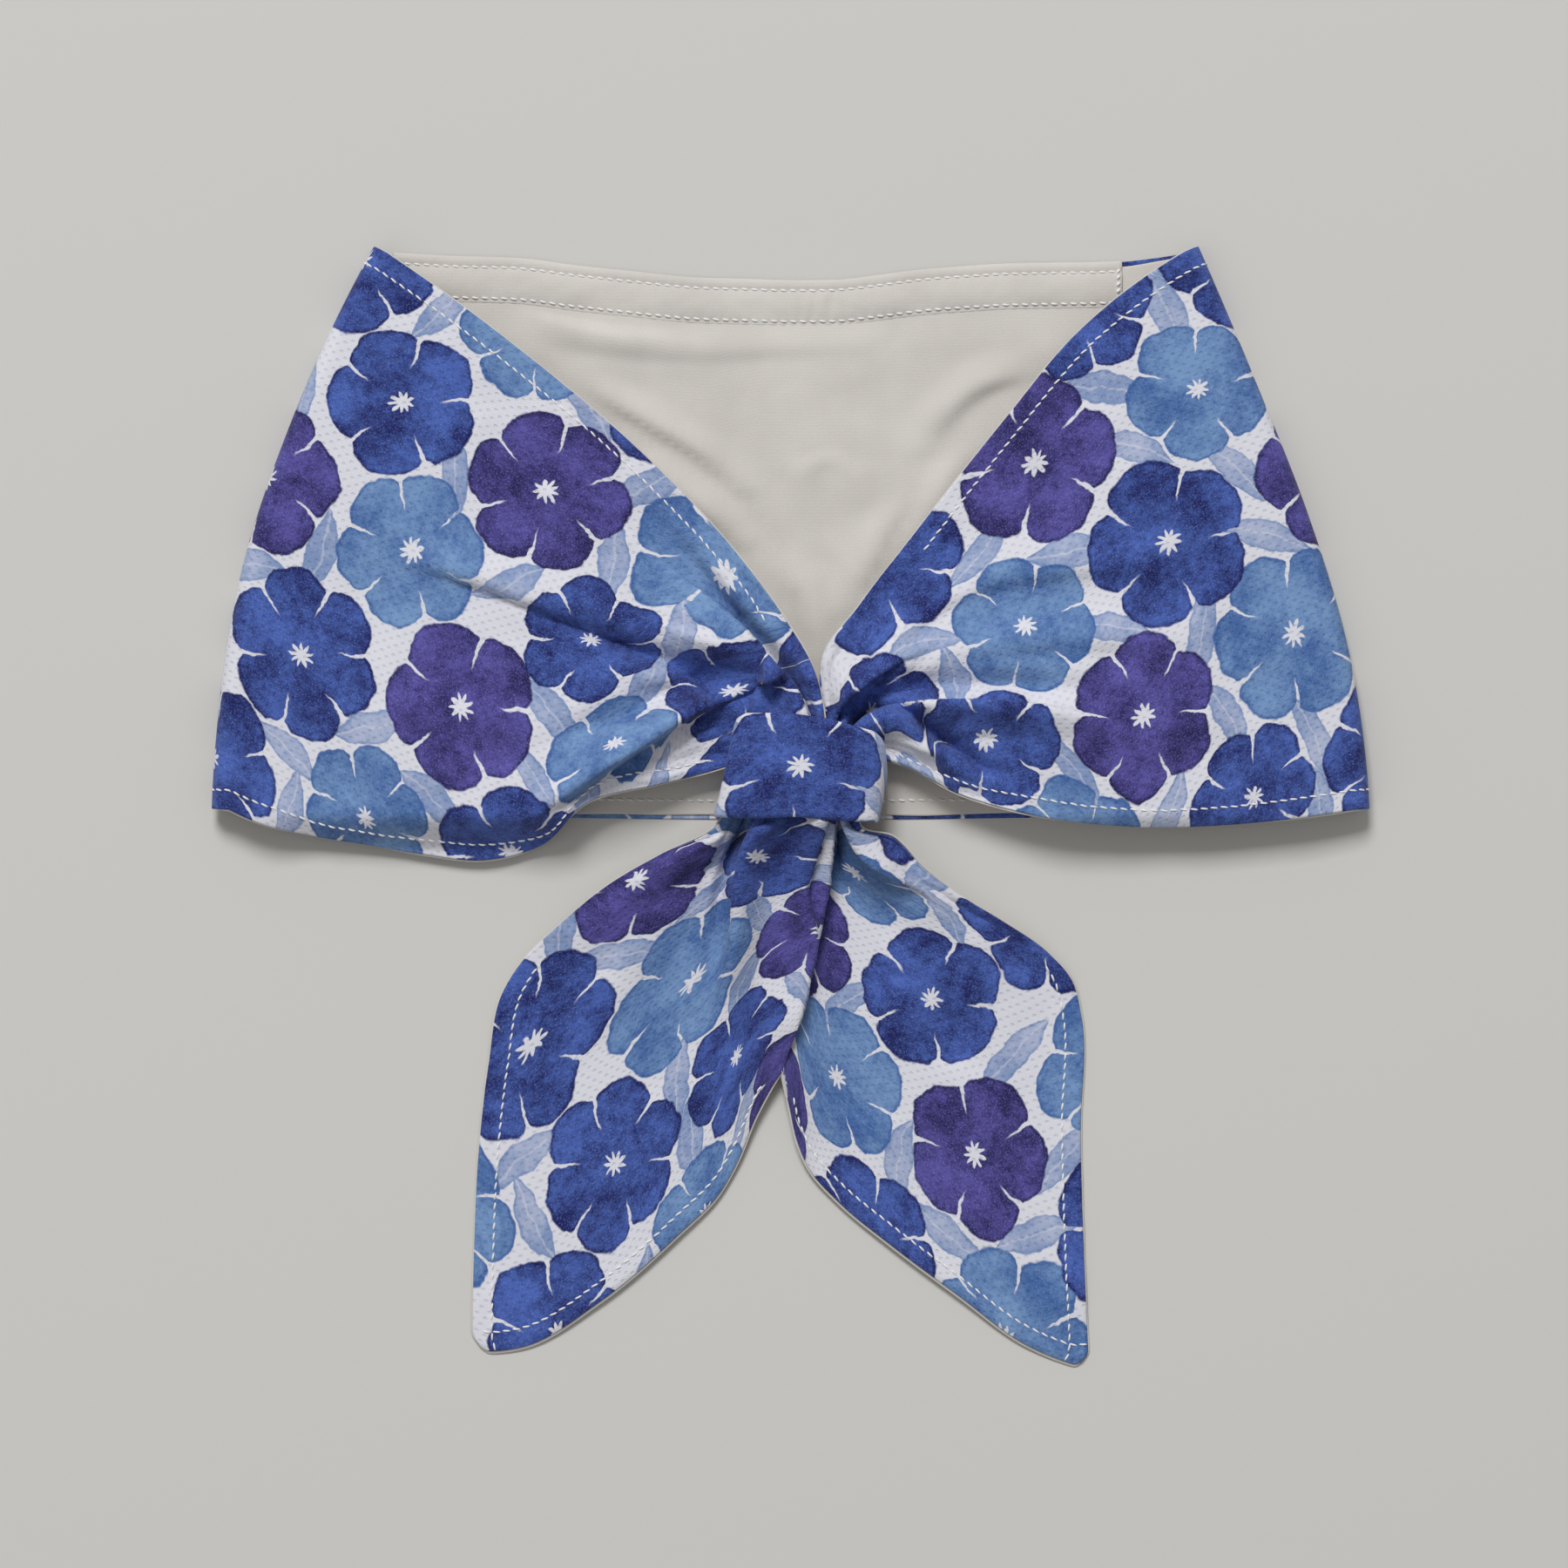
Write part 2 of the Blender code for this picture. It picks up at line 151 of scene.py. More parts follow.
def gone_along(points: Grid) -> Grid:
    """Gives the length from a line's first point to each of its points."""
    return np.concatenate([[0], np.cumsum(np.linalg.norm(np.diff(points, axis=0), axis=1))])


def smooth(at: Sequence[float], points: Sequence, where: Sequence[float]) -> Grid:
    """Finds points of a smooth curve through chosen points.

    Args:
        at: The values at which the points are met, rising.
        points: The chosen points.
        where: The values that are asked for.

    Returns:
        One point for each value in where.
    """
    at, points, where = (np.asarray(values, float) for values in (at, points, where))
    slopes = np.gradient(points, at, axis=0, edge_order=min(2, len(at) - 1))
    left = np.clip(np.searchsorted(at, where, side="right") - 1, 0, len(at) - 2)
    span = (at[left + 1] - at[left])[:, None]
    t = (where - at[left])[:, None] / span
    return (
        points[left] * (2 * t**3 - 3 * t**2 + 1)
        + slopes[left] * span * (t**3 - 2 * t**2 + t)
        + points[left + 1] * (3 * t**2 - 2 * t**3)
        + slopes[left + 1] * span * (t**3 - t**2)
    )


def ease(t: Grid | float) -> Grid:
    """Goes from 0 to 1 with level ends."""
    t = np.clip(t, 0, 1)
    return t * t * (3 - 2 * t)


def edge(start: Grid, end: Grid, bends: Sequence[Bend], rise: float, shares: Grid) -> Grid:
    """Draws an edge of the cloth.

    Args:
        start: Its first point.
        end: Its last point.
        bends: The points between them.
        rise: The height that the bends' rises are shares of.
        shares: The shares of the edge's length that are asked for.

    Returns:
        One point for each share.
    """
    line = end - start
    length = math.hypot(line[0], line[1])
    to_left = np.array([-line[1], line[0], 0]) / length
    up = np.array([0, 0, rise])
    passed = [start + b.along * line + b.bow * length * to_left + b.rise * up for b in bends]
    points = np.array([start, *passed, end])
    lengths = gone_along(points)
    return smooth(lengths, points, np.asarray(shares) * lengths[-1])


def patch(lower: Grid, upper: Grid, first: Grid, last: Grid, across: Grid) -> Grid:
    """Fills the space between four edges with a Coons patch.

    Args:
        lower: The edge at 0 across, from 0 to 1 along.
        upper: The edge at 1 across.
        first: The edge at 0 along, from 0 to 1 across.
        last: The edge at 1 along.
        across: The shares across at which first and last are given.

    Returns:
        The points, by place along and place across.
    """
    gone = gone_along(lower + upper)
    u = (gone / gone[-1])[:, None, None]
    v = across[None, :, None]
    ruled = (1 - v) * lower[:, None] + v * upper[:, None] + (1 - u) * first[None] + u * last[None]
    corners = (1 - u) * ((1 - v) * first[0] + v * first[-1]) + u * ((1 - v) * last[0] + v * last[-1])
    return ruled - corners


def crowded(count: int, power: float = 1.35) -> Grid:
    """Gives shares from 0 to 1 that lie closer together towards 1."""
    return 1 - (1 - np.linspace(0, 1, count + 1)) ** power


def raise_folds(surface: Grid, folds: Sequence[Fold], rise: float, across: Grid) -> Grid:
    """Raises the folds that run to the knot.

    Args:
        surface: The smooth surface.
        folds: The folds.
        rise: The height that the folds' heights are shares of.
        across: The shares across of the surface's columns.

    Returns:
        The surface with its folds.
    """
    u = np.linspace(0, 1, surface.shape[0])[:, None]
    v = across[None, :]
    sideways = np.gradient(surface, axis=1)
    sideways[..., 2] = 0
    sideways = unit(sideways)
    width = np.linalg.norm(np.diff(surface, axis=1), axis=2).sum(axis=1)[:, None]
    raised = surface.copy()
    for fold in folds:
        middle = fold.free + (fold.knot - fold.free) * u
        growing = fold.height * ease((u - fold.starts) / (fold.peaks - fold.starts))
        held = (fold.held - fold.height) * ease((u - fold.peaks) / (UNDER_RIM - fold.peaks))
        bump = np.cos(np.clip((v - middle) / fold.half_width, -1, 1) * math.pi / 2) ** 2
        wanted = rise * (growing + held)
        highest = (fold.half_width * width) ** 2 / (5 * SHARPEST_BEND)
        size = np.abs(wanted) + 1e-9
        height = wanted * highest / (size**3 + highest**3) ** (1 / 3) * bump
        raised[..., 2] += height
        raised -= sideways * (fold.lean * np.abs(height))[..., None]
    return raised


def press_pleats(surface: Grid, pleats: Sequence[Pleat]) -> Grid:
    """Raises the pleats that follow lines on the plan.

    Args:
        surface: The surface.
        pleats: The pleats and gullies.

    Returns:
        The surface with its pleats.
    """
    plan = surface[..., :2].reshape(-1, 2)
    moved = np.zeros((len(plan), 3))
    count, blend, fading = 32, 0.004, 0.3
    for pleat in pleats:
        gone = gone_along(pleat.line)
        line = smooth(gone / gone[-1], pleat.line, np.linspace(0, 1, count + 1))
        steps = np.diff(line, axis=0)
        lengths = np.linalg.norm(steps, axis=1)
        from_start = plan[None] - line[:-1, None]
        along = np.clip((from_start * steps[:, None]).sum(2) / lengths[:, None] ** 2, 0, 1)
        gap = np.linalg.norm(from_start - along[..., None] * steps[:, None], axis=2)
        side = np.sign(steps[:, :1] * from_start[..., 1] - steps[:, 1:] * from_start[..., 0] + 1e-12)
        near = np.exp(-(gap**2 - gap.min(axis=0) ** 2) / blend**2)
        near /= near.sum(axis=0)
        share = (near * (np.arange(count)[:, None] + along) / count).sum(axis=0)
        aside = np.take_along_axis(gap * side, gap.argmin(axis=0)[None], 0)[0]
        way = (near[..., None] * (steps / lengths[:, None])[:, None]).sum(axis=0)
        size = ease(share / pleat.fade) * (1 - (1 - pleat.kept) * ease((share - 1 + fading) / fading))
        aside += pleat.lean * abs(pleat.height) * size
        width = np.where(aside > 0, pleat.left, pleat.right)
        crest = np.cos(np.clip(aside / width, -1, 1) * math.pi / 2) ** 2
        height = pleat.height * size * crest
        moved[:, 2] += height
        moved[:, 0] -= way[:, 1] * pleat.lean * np.abs(height)
        moved[:, 1] += way[:, 0] * pleat.lean * np.abs(height)
    return surface + moved.reshape(surface.shape)


def ruffle(surface: Grid, height: float, length: float, seed: float) -> Grid:
    """Makes soft uneven waves.

    Args:
        surface: The surface that they lie on.
        height: Their usual height.
        length: Their usual length.
        seed: Where in the noise they are taken from.

    Returns:
        The heights to add, by place along and across.
    """
    flat = surface.reshape(-1, 3) / length
    waves = [noise.fractal(Vector((p[0], p[1], seed)), 0.9, 2.1, 3) for p in flat]
    return height * np.array(waves).reshape(surface.shape[:2])


def gathers(surface: Grid, height: float, count: float, starts: float, seed: float) -> Grid:
    """Makes the uneven wrinkles that run together towards the knot.

    Args:
        surface: The surface, whose rows go towards the knot.
        height: Their usual height near the knot.
        count: How many there are across the cloth, roughly.
        starts: The share along at which they begin.
        seed: Where in the noise they are taken from.

    Returns:
        The heights to add, by place along and across.
    """
    along = lengths_of(surface, 0)
    across = lengths_of(surface, 1)
    across = across / across[:, -1:]
    full, drift = 0.92, 0.045
    size = ease((np.linspace(0, 1, len(surface)) - starts) / (full - starts))[:, None]
    places = np.stack([across * count, along / drift], -1).reshape(-1, 2)
    waves = [noise.fractal(Vector((a, b, seed)), 0.8, 2.0, 2) for a, b in places]
    return height * size * np.array(waves).reshape(along.shape)


def puckers(surface: Grid, height: float, spacing: float, seed: float, reach: float) -> Grid:
    """Makes the small puckers that stitching draws up beside the two long edges.

    Args:
        surface: The surface.
        height: Their usual height.
        spacing: Their usual spacing along the edge.
        seed: Where in the noise their unevenness is taken from.
        reach: How far from the edge they are felt.

    Returns:
        The heights to add, by place along and across.
    """
    along = lengths_of(surface, 0)
    gone = lengths_of(surface, 1)
    added = np.zeros(surface.shape[:2])
    for k, inset in enumerate((gone, gone[:, -1:] - gone)):
        uneven = [noise.noise(Vector((a / 0.02, seed + 7 * k, 0))) for a in along[:, -k]]
        uneven = np.array(uneven)[:, None]
        wave = np.sin(2 * math.pi * along[:, -k][:, None] / spacing + 6 * uneven)
        added += height * wave * (0.35 + np.abs(uneven)) * np.exp(-((inset - HEM_FLANK) / reach) ** 2)
    return added


def shares_across(rows: int, close: float = 0.6) -> Grid:
    """Gives shares from 0 to 1 that lie closer together at both ends, where the hems are."""
    t = np.linspace(0, 1, rows + 1)
    return t - close * np.sin(2 * math.pi * t) / (2 * math.pi)


def lengths_of(surface: Grid, axis: int) -> Grid:
    """Measures a grid of points along one of its directions.

    Args:
        surface: The points.
        axis: 0 for along, 1 for across.

    Returns:
        The length from the first point, for every point.
    """
    steps = np.linalg.norm(np.diff(surface, axis=axis), axis=2)
    start = np.zeros_like(np.take(steps, [0], axis=axis))
    return np.concatenate([start, np.cumsum(steps, axis=axis)], axis=axis)


class Graph:
    """Writes shader nodes as short expressions."""

    def __init__(self, tree: bpy.types.NodeTree) -> None:
        """Takes the tree to write in."""
        self.tree = tree

    def node(self, kind: str, **settings: object) -> bpy.types.Node:
        """Adds a node and sets its attributes.

        Args:
            kind: Its kind.
            settings: Its attributes by name.

        Returns:
            The node.
        """
        made = self.tree.nodes.new(kind)
        for name, value in settings.items():
            setattr(made, name, value)
        return made

    def put(self, socket: bpy.types.NodeSocket, value: object) -> None:
        """Links a socket into another, or sets its value.

        Args:
            socket: The input.
            value: A socket or a value.
        """
        if isinstance(value, bpy.types.NodeSocket):
            self.tree.links.new(value, socket)
        else:
            socket.default_value = value

    def math(self, operation: str, *values: object) -> bpy.types.NodeSocket:
        """Adds a Math node.

        Args:
            operation: Its operation.
            values: Numbers or sockets, in order.

        Returns:
            Its output.
        """
        made = self.node("ShaderNodeMath", operation=operation)
        for socket, value in zip(made.inputs, values):
            self.put(socket, value)
        return made.outputs[0]

    def plus(self, first: object, second: object) -> bpy.types.NodeSocket:
        """Adds two numbers."""
        return self.math("ADD", first, second)

    def minus(self, first: object, second: object) -> bpy.types.NodeSocket:
        """Takes the second number from the first."""
        return self.math("SUBTRACT", first, second)

    def times(self, first: object, second: object) -> bpy.types.NodeSocket:
        """Multiplies two numbers."""
        return self.math("MULTIPLY", first, second)

    def plane(self, place: object) -> tuple[bpy.types.NodeSocket, bpy.types.NodeSocket]:
        """Gives the x and y of a place.

        Args:
            place: The place, a socket.

        Returns:
            The two numbers.
        """
        split = self.node("ShaderNodeSeparateXYZ")
        self.put(split.inputs[0], place)
        return split.outputs[0], split.outputs[1]

    def vector(self, operation: str, *values: object, output: int = 0) -> bpy.types.NodeSocket:
        """Adds a Vector Math node.

        Args:
            operation: Its operation.
            values: Triples or sockets, in order.
            output: Which output is wanted.

        Returns:
            That output.
        """
        made = self.node("ShaderNodeVectorMath", operation=operation)
        for socket, value in zip(made.inputs, values):
            self.put(socket, value)
        return made.outputs[output]

    def scaled(self, value: object, size: float) -> bpy.types.NodeSocket:
        """Scales a vector by a number.

        Args:
            value: The vector.
            size: The number.

        Returns:
            The scaled vector.
        """
        made = self.node("ShaderNodeVectorMath", operation="SCALE")
        self.put(made.inputs[0], value)
        made.inputs[3].default_value = size
        return made.outputs[0]

    def mix(self, share: object, first: object, second: object) -> bpy.types.NodeSocket:
        """Mixes two colours.

        Args:
            share: How much of the second, a number or a socket.
            first: The first colour.
            second: The second colour.

        Returns:
            The mixed colour.
        """
        made = self.node("ShaderNodeMix", data_type="RGBA")
        self.put(made.inputs[0], share)
        self.put(made.inputs[6], (*first, 1) if isinstance(first, tuple) else first)
        self.put(made.inputs[7], (*second, 1) if isinstance(second, tuple) else second)
        return made.outputs[2]

    def step(self, value: object, low: float, high: float) -> bpy.types.NodeSocket:
        """Rises smoothly from 0 to 1 as the value goes from low to high.

        Args:
            value: The value.
            low: Where it starts to rise.
            high: Where it is 1.

        Returns:
            The number.
        """
        made = self.node("ShaderNodeMapRange", interpolation_type="SMOOTHSTEP")
        self.put(made.inputs[0], value)
        made.inputs[1].default_value, made.inputs[2].default_value = low, high
        return made.outputs[0]

    def noise(self, place: object, scale: float, detail: float = 2.0, rough: float = 0.5) -> bpy.types.Node:
        """Adds a Noise Texture.

        Args:
            place: The coordinates.
            scale: Bumps in a metre.
            detail: How many finer layers it has.
            rough: How strong those are.

        Returns:
            The node, whose outputs are Fac and Color.
        """
        made = self.node("ShaderNodeTexNoise")
        self.put(made.inputs["Vector"], place)
        made.inputs["Scale"].default_value = scale
        made.inputs["Detail"].default_value = detail
        made.inputs["Roughness"].default_value = rough
        return made


class GroupMaker(Graph):
    """Builds one shader node group with named inputs and outputs."""

    def __init__(self, name: str, inputs: dict[str, str], outputs: dict[str, str]) -> None:
        """Makes the group's sockets.

        Args:
            name: The group's name.
            inputs: Each input's name and kind: Float, Vector or Color.
            outputs: The same for the outputs.
        """
        super().__init__(bpy.data.node_groups.new(name, "ShaderNodeTree"))
        for way, sockets in (("INPUT", inputs), ("OUTPUT", outputs)):
            for title, kind in sockets.items():
                self.tree.interface.new_socket(title, in_out=way, socket_type=f"NodeSocket{kind}")
        self.given = self.node("NodeGroupInput").outputs
        self.result = self.node("NodeGroupOutput").inputs


def use(graph: Graph, group: bpy.types.NodeTree, **values: object) -> bpy.types.Node:
    """Places a node group.

    Args:
        graph: Where it is placed.
        group: The group.
        values: Its inputs by name, with underscores for spaces.

    Returns:
        The placed node.
    """
    made = graph.node("ShaderNodeGroup", node_tree=group)
    for name, value in values.items():
        graph.put(made.inputs[name.replace("_", " ")], value)
    return made


class Effects:
    """The node groups that more than one material uses, each built once."""

    def __init__(self) -> None:
        """Builds every group."""
        self.repeat = self._repeat()
        self.wash = self._wash()
        self.blossom = self._blossom()
        self.leaf = self._leaf()
        self.knit = self._knit()
        self.tricot = self._tricot()

    def _repeat(self) -> bpy.types.NodeTree:
        """Builds the half-drop repeat: the place seen from the nearest copy of a motif's middle.

        Returns:
            The group.
        """
        inputs = {"Place": "Vector", "Middle": "Vector", "Turn": "Float"}
        g = GroupMaker("print repeat", inputs, {"From Middle": "Vector"})
        x, y = g.plane(g.vector("SUBTRACT", g.given["Place"], g.given["Middle"]))
        column = g.math("ROUND", g.math("DIVIDE", x, PRINT_TILE))
        dropped = g.minus(y, g.times(column, PRINT_TILE * 0.5))
        joined = g.node("ShaderNodeCombineXYZ")
        g.put(joined.inputs[0], g.minus(x, g.times(column, PRINT_TILE)))
        g.put(joined.inputs[1], g.math("WRAP", dropped, PRINT_TILE / 2, -PRINT_TILE / 2))
        turned = g.node("ShaderNodeVectorRotate", rotation_type="Z_AXIS")
        g.put(turned.inputs["Vector"], joined.outputs[0])
        g.put(turned.inputs["Angle"], g.given["Turn"])
        g.put(g.result[0], turned.outputs[0])
        return g.tree

    def _wash(self) -> bpy.types.NodeTree:
        """Builds the watercolour wash: a colour that pools, thins and speckles, and is darker at its rim.

        Returns:
            The group.
        """
        inputs = {"Place": "Vector", "Deep": "Color", "Pale": "Color", "Rim": "Float"}
        g = GroupMaker("watercolour wash", inputs, {"Color": "Color"})
        layers = ((2.2, 58.0, 3.0, 0.6), (1.1, 380.0, 3.0, 0.65), (0.7, 1300.0, 2.0, 0.7))
        pools, blots, grain = (
            g.times(g.noise(g.given["Place"], *layer).outputs["Fac"], weight) for weight, *layer in layers
        )
        amount = g.minus(g.plus(g.plus(pools, blots), grain), g.times(g.given["Rim"], 0.40))
        g.put(g.result[0], g.mix(g.step(amount, 1.45, 2.55), g.given["Deep"], g.given["Pale"]))
        return g.tree

    def _blossom(self) -> bpy.types.NodeTree:
        """Builds one round blossom: masks of its separate petals, their rim and its pale stamens.

        Returns:
            The group.
        """
        inputs = {"From Middle": "Vector", "Size": "Float", "Petals": "Float"}
        g = GroupMaker("blossom", inputs, {"Petals": "Float", "Rim": "Float", "Heart": "Float"})
        x, y = g.plane(g.given["From Middle"])
        angle = g.math("ARCTAN2", y, x)
        away = g.vector("LENGTH", g.given["From Middle"], output=1)
        share = g.math("DIVIDE", away, g.given["Size"])
        half_turns = g.times(g.times(angle, g.given["Petals"]), 0.5)
        petal = g.math("ABSOLUTE", g.math("COSINE", half_turns))
        reach = g.plus(0.80, g.times(g.math("POWER", petal, 0.5), 0.24))
        depth = g.minus(reach, share)
        gap = g.times(petal, share)
        slit = g.times(g.minus(share, 0.45), 0.16)
        closed = g.step(g.minus(gap, slit), -0.010, 0.030)
        parted = g.times(g.step(share, 0.48, 0.62), g.minus(1.0, closed))
        inside = g.times(g.step(depth, -0.012, 0.018), g.minus(1.0, parted))
        g.put(g.result["Petals"], inside)
        g.put(g.result["Rim"], g.minus(1.0, g.step(depth, 0.015, 0.075)))
        spokes = g.math("ABSOLUTE", g.math("SINE", g.times(angle, 4.5)))
        star = g.plus(0.085, g.times(g.math("POWER", spokes, 2.0), 0.085))
        g.put(g.result["Heart"], g.step(g.minus(star, share), -0.010, 0.018))
        return g.tree

    def _leaf(self) -> bpy.types.NodeTree:
        """Builds one long leaf, pointed at both ends: masks of the leaf and of the line along its middle.

        Returns:
            The group.
        """
        inputs = {"From Middle": "Vector", "Length": "Float", "Width": "Float"}
        g = GroupMaker("leaf", inputs, {"Leaf": "Float", "Rim": "Float"})
        x, y = g.plane(g.given["From Middle"])
        along = g.math("DIVIDE", x, g.given["Length"])
        curve = g.times(g.times(along, along), 0.35)
        across = g.math("ABSOLUTE", g.plus(g.math("DIVIDE", y, g.given["Width"]), curve))
        room = g.minus(1.0, g.times(along, along))
        depth = g.minus(room, across)
        vein = g.minus(1.0, g.step(across, 0.03, 0.10))
        g.put(g.result["Leaf"], g.minus(g.step(depth, -0.02, 0.08), g.times(vein, 0.35)))
        g.put(g.result["Rim"], g.minus(1.0, g.step(depth, 0.05, 0.30)))
        return g.tree

    def _knit(self) -> bpy.types.NodeTree:
        """Builds the bird-eye mesh knit: small pits in staggered rows, with finer loops between them.

        Returns:
            The group.
        """
        g = GroupMaker("bird-eye knit", {"Place": "Vector"}, {"Height": "Float", "Pit": "Float"})
        x, y = g.plane(g.given["Place"])
        turn = 2 * math.pi / KNIT_PITCH
        rows_of_loops = ((x, 1), (y, 1.35), (x, 7), (y, 8.1))
        columns, rows, fine_columns, fine_rows = (
            g.math("COSINE", g.times(way, turn * times)) for way, times in rows_of_loops
        )
        pit = g.step(g.math("ABSOLUTE", g.plus(columns, rows)), 1.30, 1.85)
        loops = g.times(g.times(fine_columns, fine_rows), 0.28)
        g.put(g.result["Height"], g.minus(loops, pit))
        g.put(g.result["Pit"], pit)
        return g.tree

    def _tricot(self) -> bpy.types.NodeTree:
        """Builds the fine tricot of the lining: narrow wales and a little fuzz.

        Returns:
            The group.
        """
        g = GroupMaker("fine tricot", {"Place": "Vector"}, {"Height": "Float", "Shade": "Float"})
        x, y = g.plane(g.given["Place"])
        turn = 2 * math.pi / TRICOT_PITCH
        wales = g.math("COSINE", g.times(x, turn))
        rows = g.math("COSINE", g.times(y, turn * 0.8))
        fuzz = g.noise(g.given["Place"], 1500.0, 2.0).outputs["Fac"]
        cloud = g.noise(g.given["Place"], 45.0, 3.0).outputs["Fac"]
        loops = g.times(g.plus(wales, rows), 0.10)
        g.put(g.result["Height"], g.plus(loops, g.times(fuzz, 0.8)))
        g.put(g.result["Shade"], g.plus(g.times(cloud, 0.7), g.times(fuzz, 0.3)))
        return g.tree


class Hue(Enum):
    """The print's inks, each a deep and a pale linear colour."""

    ROYAL = ((0.005, 0.010, 0.110), (0.066, 0.130, 0.465))
    VIOLET = ((0.015, 0.010, 0.092), (0.105, 0.088, 0.375))
    CORNFLOWER = ((0.048, 0.123, 0.345), (0.184, 0.318, 0.560))
    LEAF = ((0.200, 0.285, 0.500), (0.440, 0.490, 0.660))


class Bloom(NamedTuple):
    """A blossom of the print: its middle, radius and turn on the tile, its petals and its ink."""

    x: float
    y: float
    radius: float
    turn: float
    petals: float
    hue: Hue


class Leaf(NamedTuple):
    """A leaf of the print: its middle, turn and half sizes."""

    x: float
    y: float
    turn: float
    length: float = 0.0140
    width: float = 0.0048


BLOOMS = (
    Bloom(0.147, 0.126, 0.0247, 0.2, 6, Hue.CORNFLOWER),
    Bloom(0.071, 0.008, 0.0210, 0.6, 6, Hue.CORNFLOWER), Bloom(0.016, 0.005, 0.0229, 0.1, 6, Hue.ROYAL),
    Bloom(0.042, 0.046, 0.0238, 1.2, 6, Hue.ROYAL), Bloom(0.124, 0.085, 0.0206, 1.2, 6, Hue.ROYAL),
    Bloom(0.065, 0.088, 0.0224, 0.5, 6, Hue.CORNFLOWER), Bloom(0.120, 0.010, 0.0242, 0.9, 5, Hue.ROYAL),
    Bloom(0.046, 0.127, 0.0215, 0.2, 5, Hue.ROYAL), Bloom(0.095, 0.123, 0.0233, 0.9, 6, Hue.VIOLET),
    Bloom(0.145, 0.048, 0.0201, 0.7, 5, Hue.CORNFLOWER), Bloom(0.017, 0.090, 0.0220, 0.9, 5, Hue.VIOLET),
    Bloom(0.094, 0.051, 0.0238, 0.3, 5, Hue.VIOLET),
)
LEAVES = (
    Leaf(0.017, 0.120, 1.2, 0.0149, 0.0043), Leaf(0.096, 0.092, 2.3, 0.0136, 0.0048),
    Leaf(0.045, 0.001, 1.8, 0.0131, 0.0045), Leaf(0.094, 0.152, 0.5, 0.0144, 0.0045),
    Leaf(0.121, 0.111, 1.3, 0.0141, 0.0047), Leaf(0.149, 0.156, 0.6, 0.0144, 0.0045),
    Leaf(0.122, 0.040, 0.7, 0.0131, 0.0042), Leaf(0.093, 0.022, 0.4, 0.0144, 0.0049),
    Leaf(0.121, 0.060, 0.6, 0.0142, 0.0050), Leaf(0.147, 0.022, 1.1, 0.0132, 0.0047),
    Leaf(0.019, 0.064, 3.0, 0.0149, 0.0048), Leaf(0.120, 0.137, 2.1, 0.0152, 0.0047),
    Leaf(0.068, 0.034, 2.6, 0.0138, 0.0045), Leaf(0.040, 0.076, 1.6, 0.0136, 0.0049),
    Leaf(0.069, 0.114, 1.1, 0.0154, 0.0042), Leaf(0.146, 0.074, 1.5, 0.0150, 0.0049),
    Leaf(0.147, 0.095, 1.3, 0.0143, 0.0046), Leaf(0.042, 0.018, 0.4, 0.0131, 0.0043),
)


def cloth_shader(name: str) -> tuple[bpy.types.Material, Graph, bpy.types.Node]:
    """Starts a material.

    Args:
        name: Its name.

    Returns:
        The material, a graph to write in and its Principled shader.
    """
    made = bpy.data.materials.new(name)
    made.use_nodes = True
    return made, Graph(made.node_tree), made.node_tree.nodes["Principled BSDF"]


def feed(
    g: Graph, shader: bpy.types.Node, color: object, height: object, depth: float, **plain: float
) -> None:
    """Feeds a shader its colour, its bump and its plain values.

    Args:
        g: The graph that the shader is in.
        shader: The shader.
        color: Its base colour.
        height: The height that its bump is made from.
        depth: How deep that is, in metres.
        plain: Its plain inputs by name, with underscores for spaces.
    """
    bump = g.node("ShaderNodeBump")
    bump.inputs["Distance"].default_value = depth
    g.put(bump.inputs["Height"], height)
    g.put(shader.inputs["Base Color"], color)
    g.put(shader.inputs["Normal"], bump.outputs[0])
    for name, value in plain.items():
        shader.inputs[name.replace("_", " ")].default_value = value


